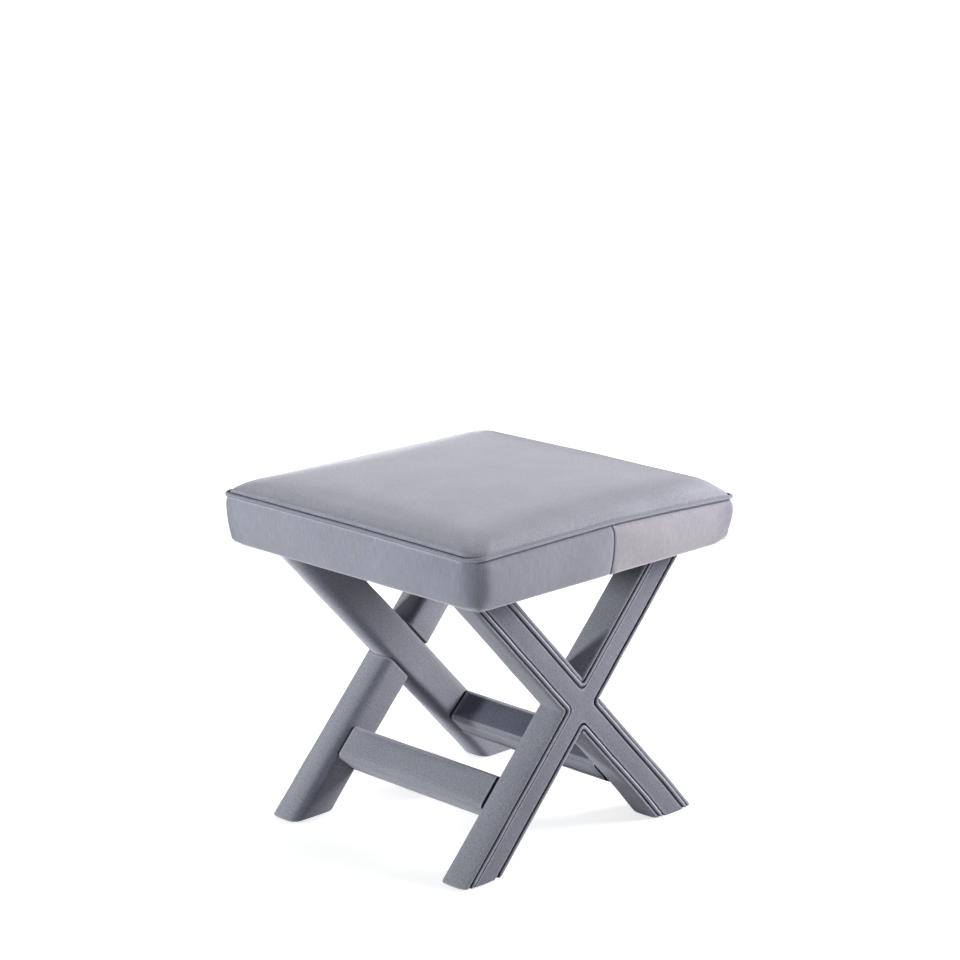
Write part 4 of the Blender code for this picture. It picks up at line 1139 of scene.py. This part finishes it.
def build_stretchers(finish):
    """The padded sleeves between the frames, lapped along one lower face."""
    lap = LAP_WIDTH / (2 * STRETCHER_HALF - STRETCHER_RADII[3] - STRETCHER_RADII[0])
    near_lap = [lap / 3, lap * 0.9, lap, lap * LAP_LINE_SHARE, lap * 1.12]
    shares = np.concatenate([near_lap, np.linspace(0.35, 0.92, 5)])
    outside = square_section(STRETCHER_HALF, STRETCHER_RADII, shares)
    inside = square_section(STRETCHER_CORE_HALF, [LEAST_RADIUS] * 4, shares)
    count = len(outside)
    long = 2 * STRETCHER_END
    rows = np.array(STRETCHER_END_ROWS)
    body = np.linspace(STRETCHER_BODY_START, long - STRETCHER_BODY_START, 46)
    at = np.concatenate([rows, body, long - rows[::-1]])
    to_end = np.minimum(at, long - at)
    left = np.clip(1 - to_end / STRETCHER_END_ROLL, 0.0, 1.0)
    pull = (STRETCHER_END_DRAW * (1 - np.sqrt(1 - left * left)))[:, None]
    across, up = outside.T
    on_face = across > STRETCHER_HALF - FACE_TOLERANCE
    flat_start = -STRETCHER_HALF + STRETCHER_RADII[3]
    on_lap = on_face & (up < flat_start + LAP_WIDTH + FACE_TOLERANCE)
    lap_line = on_face & (np.abs(up - flat_start - LAP_WIDTH * LAP_LINE_SHARE) < FACE_TOLERANCE)
    uu = across * (1 - pull) + inside[:, 0] * pull + LAP_STEP * on_lap
    ww = up * (1 - pull) + inside[:, 1] * pull
    all_u = np.stack([uu, np.broadcast_to(inside[:, 0], uu.shape)])
    all_w = np.stack([ww, np.broadcast_to(inside[:, 1], ww.shape)])
    x = BAR_SIN * all_u + BAR_COS * all_w - STRETCHER_X
    z = STRETCHER_Z - BAR_COS * all_u + BAR_SIN * all_w
    y = np.broadcast_to((at - STRETCHER_END)[:, None], x.shape)
    points = np.stack([x, y, z], axis=-1)
    points[0, ..., 2] += ripple(points[0], scale=30.0, seed=51).reshape(len(at), count) * STRETCHER_DRIFT
    nap = nap_of(lengths(outside), y)
    first_inner = len(at) * count
    faces = quads(len(at), count, False, True)
    faces += [[first_inner + i for i in cell[::-1]] for cell in faces]
    for row in (0, len(at) - 1):
        for i in range(count):
            a, b = row * count + i, row * count + (i + 1) % count
            faces.append((a, b, first_inner + b, first_inner + a))
    # Painted shade on one upper face and painted light on the lapped face, the top edge and the lower face,
    # with painted shade along the lap's edge
    painted_faces = PAINTED_FACE_SHADE * (up > STRETCHER_HALF - FACE_TOLERANCE) - PAINTED_FACE_LIGHT * on_face
    edge_start = STRETCHER_HALF - STRETCHER_RADII[1]
    painted_faces = np.where((across < -edge_start) & (up > edge_start), -TOP_EDGE_LIGHT, painted_faces)
    painted_faces = np.where(up < FACE_TOLERANCE - STRETCHER_HALF, -LOW_FACE_LIGHT, painted_faces)
    body_shade = np.where(lap_line, LAP_SHADE, painted_faces) * smooth_step(*BODY_SHADE_SPAN, to_end)[:, None]
    meshes = []
    for from_front in (at, long - at):
        # Painted black shadow where each end meets a leg, wider at the back, and a painted light rim beside
        # it
        black = np.where(from_front < long / 2, *END_SHADOW_REACHES)
        end_shadow = 1 - smooth_step(black, black + END_SHADOW_FADE, to_end)
        end_shadow -= END_LIGHT * bell(to_end - black - END_LIGHT_AT, width=0.0009)
        painted_shade = np.stack([end_shadow[:, None] + body_shade, np.zeros(body_shade.shape)])
        meshes.append(new_mesh("stretcher_cover", points, faces, nap, painted_shade))
    mesh, turned = meshes
    held = np.ones(y.shape, bool)
    held[0] = (to_end < STRETCHER_HELD_END)[:, None]
    left_piece = dress("left_stretcher_cover_velvet", mesh, finish, ["left_stretcher_cover"])
    swell_up(left_piece, held, pressure=3.0, cap=0.0010)
    set_coordinates(turned, coordinates(mesh))
    dress("right_stretcher_cover_velvet", turned, finish, ["right_stretcher_cover"], HALF_TURN)


def build_dust_cover(finish):
    """The black cambric under the seat: tacked at its edge, and sagging a little between the frames."""
    half = DUST_HIGH.x
    line = np.linspace(-half, half, DUST_POINTS)
    x, y = np.meshgrid(line, line, indexing="ij")
    clear = smooth_step(0.0, DUST_EDGE_REACH, half - np.maximum(abs(x), abs(y)))
    between = 1 - smooth_step(*DUST_SAG_SPAN, abs(y))
    points = np.stack([x, y, DUST_HIGH.z - DUST_SAG * clear * between], axis=-1)
    faces = quads(DUST_POINTS, DUST_POINTS)
    mesh = new_mesh("dust_cover_cambric", points, faces, points, np.zeros(x.shape))
    piece = new_object("dust_cover_cambric", mesh)
    if mesh.polygons[0].normal.z < 0:
        mesh.flip_normals()
    mesh.materials.append(finish)
    add_skin(piece, DUST_HIGH.z - DUST_LOW.z)
    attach(piece, "root")
    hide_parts("dust_cover")


# Materials

class Nodes:
    """Short forms for the node tree of a material or of the world."""

    def __init__(self, owner):
        owner.use_nodes = True
        self.owner = owner
        self.tree = owner.node_tree
        self.shader = self.tree.nodes.get("Principled BSDF")

    def add(self, kind, **values):
        node = self.tree.nodes.new(kind)
        for key, value in values.items():
            setattr(node, key, value)
        return node

    def put(self, node, values):
        for name, value in values.items():
            node.inputs[name].default_value = value

    def join(self, source, target):
        self.tree.links.new(source, target)

    def noise(self, source, scale, detail=2.0, roughness=0.5):
        """Noise from 0 to 1 with its own scale along each axis."""
        mapping = self.add("ShaderNodeMapping")
        self.put(mapping, {"Scale": scale})
        self.join(source, mapping.inputs["Vector"])
        node = self.add("ShaderNodeTexNoise")
        self.put(node, {"Scale": 1.0, "Detail": detail, "Roughness": roughness})
        self.join(mapping.outputs["Vector"], node.inputs["Vector"])
        return node.outputs["Fac"]

    def math(self, operation, first, second):
        node = self.add("ShaderNodeMath", operation=operation)
        for socket, value in zip(node.inputs, (first, second)):
            if isinstance(value, (int, float)):
                socket.default_value = value
            else:
                self.join(value, socket)
        return node.outputs["Value"]

    def swing(self, value, amount):
        """Turns a value from 0 to 1 into a factor round 1."""
        return self.math("ADD", self.math("MULTIPLY", value, 2 * amount), 1.0 - amount)

    def ramp(self, source, low, high, at_low, at_high):
        """A smooth change from one value to another while the source goes from low to high."""
        node = self.add("ShaderNodeMapRange", interpolation_type="SMOOTHSTEP")
        self.put(node, {"From Min": low, "From Max": high, "To Min": at_low, "To Max": at_high})
        self.join(source, node.inputs["Value"])
        return node.outputs["Result"]

    def tint(self, colour, factor):
        node = self.add("ShaderNodeVectorMath", operation="SCALE")
        node.inputs[0].default_value = colour
        self.join(factor, node.inputs["Scale"])
        return node.outputs["Vector"]

    def tint_between(self, colour, share, first, second):
        """The colour times one between two others, by a share from 0 to 1."""
        blend = self.add("ShaderNodeMix", data_type="RGBA")
        blend.inputs[6].default_value = first
        blend.inputs[7].default_value = second
        self.join(share, blend.inputs[0])
        node = self.add("ShaderNodeVectorMath", operation="MULTIPLY")
        self.join(colour, node.inputs[0])
        self.join(blend.outputs[2], node.inputs[1])
        return node.outputs["Vector"]

    def bump(self, height, strength, distance):
        node = self.add("ShaderNodeBump")
        self.put(node, {"Strength": strength, "Distance": distance})
        self.join(height, node.inputs["Height"])
        self.join(node.outputs["Normal"], self.shader.inputs["Normal"])

    def seen_rays(self):
        """One for rays that the camera, a reflection or a see-through surface sends, and zero for light."""
        rays = self.add("ShaderNodeLightPath").outputs
        seen = self.math("MAXIMUM", rays["Is Camera Ray"], rays["Is Glossy Ray"])
        return self.math("MAXIMUM", seen, rays["Is Transmission Ray"])


def velvet(name, colour, streaks, speckle, grain=560.0, sheen=0.6):
    """Short-pile velvet: nap streaks along the fabric, soft mottling and fine pile, with painted shade from
    each point's value, such as dark seams, and painted light where it is below zero.
    """
    made = Nodes(bpy.data.materials.new(name))
    fabric = made.add("ShaderNodeAttribute", attribute_name="nap").outputs["Vector"]
    painted = made.add("ShaderNodeAttribute", attribute_name="painted_shade").outputs["Fac"]
    streak = made.noise(fabric, scale=(480.0, 480.0, 62.0), detail=3.0, roughness=0.6)
    cloud = made.noise(fabric, scale=(16.0, 16.0, 10.0), detail=3.0, roughness=0.6)
    pile = made.noise(fabric, scale=(1500.0, 1500.0, 700.0))
    specks = made.noise(fabric, scale=(grain, grain, 0.7 * grain), roughness=0.6)
    warmth = made.noise(fabric, scale=(38.0, 38.0, 22.0))
    factor = made.swing(streak, streaks)
    for value, amount in ((cloud, CLOUD_SWING), (pile, PILE_SWING), (specks, speckle)):
        factor = made.math("MULTIPLY", factor, made.swing(value, amount))
    # Painted shade where the point's value is above zero, bluer as it darkens, and painted light where it
    # is below zero
    painted_dark = made.math("MAXIMUM", painted, 0.0)
    painted_bright = made.math("MINIMUM", painted, 0.0)
    shade = made.math("SUBTRACT", 1.0, made.math("MULTIPLY", painted_dark, PAINTED_SHADE_DEPTH))
    shade = made.math("SUBTRACT", shade, made.math("MULTIPLY", painted_bright, PAINTED_LIGHT_GAIN))
    tinted = made.tint(colour, made.math("MULTIPLY", factor, shade))
    tinted = made.tint_between(tinted, warmth, COOL_NAP, WARM_NAP)
    tinted = made.tint_between(tinted, painted_dark, WHITE, PAINTED_SHADE_TINT)
    made.join(tinted, made.shader.inputs["Base Color"])
    height = made.math("ADD", made.math("MULTIPLY", streak, 0.6), made.math("MULTIPLY", pile, 0.4))
    made.bump(height, strength=0.25, distance=0.0004)
    made.put(made.shader, {
        "Roughness": 0.95, "Specular IOR Level": 0.15, "Sheen Weight": sheen, "Sheen Roughness": 0.32,
        "Sheen Tint": (0.93, 0.93, 1.0, 1.0)})
    return made.owner


def plain(name, colour, roughness, grain, amount, metallic=0.0):
    """A finish with a grain: wood, foam, cambric, steel or nylon by its scale and strength."""
    made = Nodes(bpy.data.materials.new(name))
    place = made.add("ShaderNodeTexCoord").outputs["Object"]
    figure = made.noise(place, grain, detail=4.0, roughness=0.6)
    fine = made.noise(place, [FINE_GRAIN * scale for scale in grain])
    factor = made.math("MULTIPLY", made.swing(figure, amount), made.swing(fine, amount * 0.5))
    made.join(made.tint(colour, factor), made.shader.inputs["Base Color"])
    made.bump(fine, strength=0.3, distance=0.0002)
    gloss = made.math("MULTIPLY", made.swing(fine, ROUGHNESS_SWING), roughness)
    made.join(gloss, made.shader.inputs["Roughness"])
    made.put(made.shader, {"Metallic": metallic})
    return made.owner


def finish_inner_nodes():
    """Wood, steel and nylon on the CAD nodes that stay as they are."""
    grains = {"x": (6.0, 90.0, 90.0), "y": (90.0, 6.0, 90.0), "z": (60.0, 90.0, 12.0)}
    pine = {axis: plain(f"pine_along_{axis}", PINE, roughness=0.65, grain=grain, amount=0.22)
            for axis, grain in grains.items()}
    plywood = plain("plywood", (0.55, 0.38, 0.22), roughness=0.7, grain=(8.0, 60.0, 700.0), amount=0.2)
    steel = plain("zinc_steel", (0.55, 0.55, 0.56), roughness=0.35, grain=[300.0] * 3, amount=0.06,
                  metallic=1.0)
    nylon = plain("nylon", (0.04, 0.04, 0.045), roughness=0.5, grain=[400.0] * 3, amount=0.1)
    by_name = {
        "seat_rail_left": pine["y"], "seat_rail_right": pine["y"], "stretcher_core": pine["y"],
        "seat_rail": pine["x"], "cross_rail": pine["x"], "_bar": pine["z"], "seat_deck": plywood,
        "bolt": steel, "insert": steel, "screw": steel, "glide": nylon,
    }
    for name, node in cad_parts.items():
        for part, finish in by_name.items():
            if part in name and not node.hide_render:
                node.data.materials.clear()
                node.data.materials.append(finish)
                break


# Stage

def build_floor():
    """A white floor that keeps the shadow."""
    mesh = bpy.data.meshes.new("floor")
    corners = [(x * FLOOR_REACH, y * FLOOR_REACH, 0) for x, y in ((-1, -1), (1, -1), (1, 1), (-1, 1))]
    mesh.from_pydata(corners, [], [(0, 1, 2, 3)])
    floor = new_object("floor", mesh)
    made = Nodes(bpy.data.materials.new("floor"))
    made.put(made.shader, {
        "Base Color": (0.66, 0.66, 0.66, 1.0), "Roughness": 1.0, "Specular IOR Level": 0.0,
        "Emission Color": WHITE})
    away = made.add("ShaderNodeVectorMath", operation="LENGTH")
    made.join(made.add("ShaderNodeTexCoord").outputs["Object"], away.inputs[0])
    glow = made.ramp(away.outputs["Value"], low=0.3, high=2.6, at_low=0.70, at_high=0.95)
    strength = made.math("MULTIPLY", made.seen_rays(), glow)
    made.join(strength, made.shader.inputs["Emission Strength"])
    mesh.materials.append(made.owner)


def build_world():
    """A white surround, with a soft light that is strongest near the horizon."""
    world = bpy.context.scene.world or bpy.data.worlds.new("world")
    bpy.context.scene.world = world
    made = Nodes(world)
    light = made.tree.nodes["Background"]
    made.put(light, {"Color": (0.95, 0.97, 1.0, 1.0)})
    height = made.add("ShaderNodeSeparateXYZ")
    made.join(made.add("ShaderNodeTexCoord").outputs["Generated"], height.inputs["Vector"])
    fall = made.ramp(height.outputs["Z"], low=0.05, high=0.60, at_low=0.26, at_high=0.15)
    made.join(fall, light.inputs["Strength"])
    white = made.add("ShaderNodeBackground")
    made.put(white, {"Color": WHITE})
    mix = made.add("ShaderNodeMixShader")
    made.join(made.seen_rays(), mix.inputs["Fac"])
    made.join(light.outputs["Background"], mix.inputs[1])
    made.join(white.outputs["Background"], mix.inputs[2])
    made.join(mix.outputs["Shader"], made.tree.nodes["World Output"].inputs["Surface"])


def lamp(name, place, aim_height, size, power, colour=(1.0, 1.0, 1.0)):
    """A square soft lamp that points at a height over the middle of the floor."""
    data = bpy.data.lights.new(name, "AREA")
    data.color = colour
    data.size = size
    data.energy = power
    made = new_object(name, data)
    made.location = place
    ahead = Vector((0.0, 0.0, aim_height)) - Vector(place)
    made.rotation_euler = ahead.to_track_quat("-Z", "Y").to_euler()


def build_lamps():
    lamp("overhead", (0.4, 0.7, 1.9), aim_height=0.4, size=1.2, power=4.5)
    lamp("right", (2.0, -1.6, 1.30), aim_height=0.3, size=1.1, power=106.0)
    lamp("left", (-3.50, 1.10, 0.84), aim_height=0.3, size=0.36, power=105.0, colour=(0.96, 1.0, 0.98))
    lamp("rim", (-1.30, 2.10, 0.40), aim_height=0.3, size=0.3, power=12.0)


def build_camera():
    """The photograph's view: 44 degrees round, 14 degrees up, through a long lens."""
    yaw, pitch, roll = -0.7675, 0.2462, -0.0100
    focal_pixels, image_pixels, sensor = 2676.8, 960.0, 36.0
    distance, aim_right, aim_height = 3.5279, 0.0010, 0.4646
    back = Vector((math.sin(yaw) * math.cos(pitch), -math.cos(yaw) * math.cos(pitch), math.sin(pitch)))
    right = Vector((math.cos(yaw), math.sin(yaw), 0.0))
    up = back.cross(right)
    side = right * math.cos(roll) + up * math.sin(roll)
    top = up * math.cos(roll) - right * math.sin(roll)
    data = bpy.data.cameras.new("camera")
    data.sensor_width = sensor
    data.lens = focal_pixels * sensor / image_pixels
    camera = new_object("camera", data)
    place = Vector((0.0, 0.0, aim_height)) + back * distance + right * aim_right
    camera.matrix_world = Matrix.Translation(place) @ Matrix((side, top, back)).transposed().to_4x4()
    bpy.context.scene.camera = camera


def main():
    bpy.context.scene.view_settings.view_transform = "Standard"
    top = velvet("velvet_top", TOP_GREY, streaks=0.20, speckle=0.36, sheen=0.46)
    near = velvet("velvet_boxing", NEAR_GREY, streaks=0.30, speckle=0.18)
    far = velvet("velvet_boxing_light", FAR_GREY, streaks=0.24, speckle=0.22)
    bar = velvet("velvet_bar", BAR_GREY, streaks=0.12, speckle=0.52, grain=460.0, sheen=0.42)
    panel = velvet("velvet_panel", PANEL_GREY, streaks=0.08, speckle=0.46, grain=460.0, sheen=0.42)
    welt = velvet("velvet_welt", NEAR_GREY, streaks=0.16, speckle=0.30, sheen=0.45)
    foam = plain("foam", (0.78, 0.74, 0.58), roughness=0.95, grain=[220.0] * 3, amount=0.12)
    cambric = plain("cambric", (0.02, 0.02, 0.022), roughness=0.95, grain=[900.0] * 3, amount=0.4)
    build_seat_top(top)
    build_seat_foam(foam)
    build_seat_welt(welt)
    build_boxing("seat_boxing_right_velvet", 0.0, far, "seat_boxing_right")
    build_boxing("seat_boxing_left_velvet", HALF_TURN, near, "seat_boxing_left")
    build_covers(bar)
    build_faces(panel, welt)
    build_stretchers(bar)
    build_dust_cover(cambric)
    finish_inner_nodes()
    build_floor()
    build_world()
    build_lamps()
    build_camera()


main()
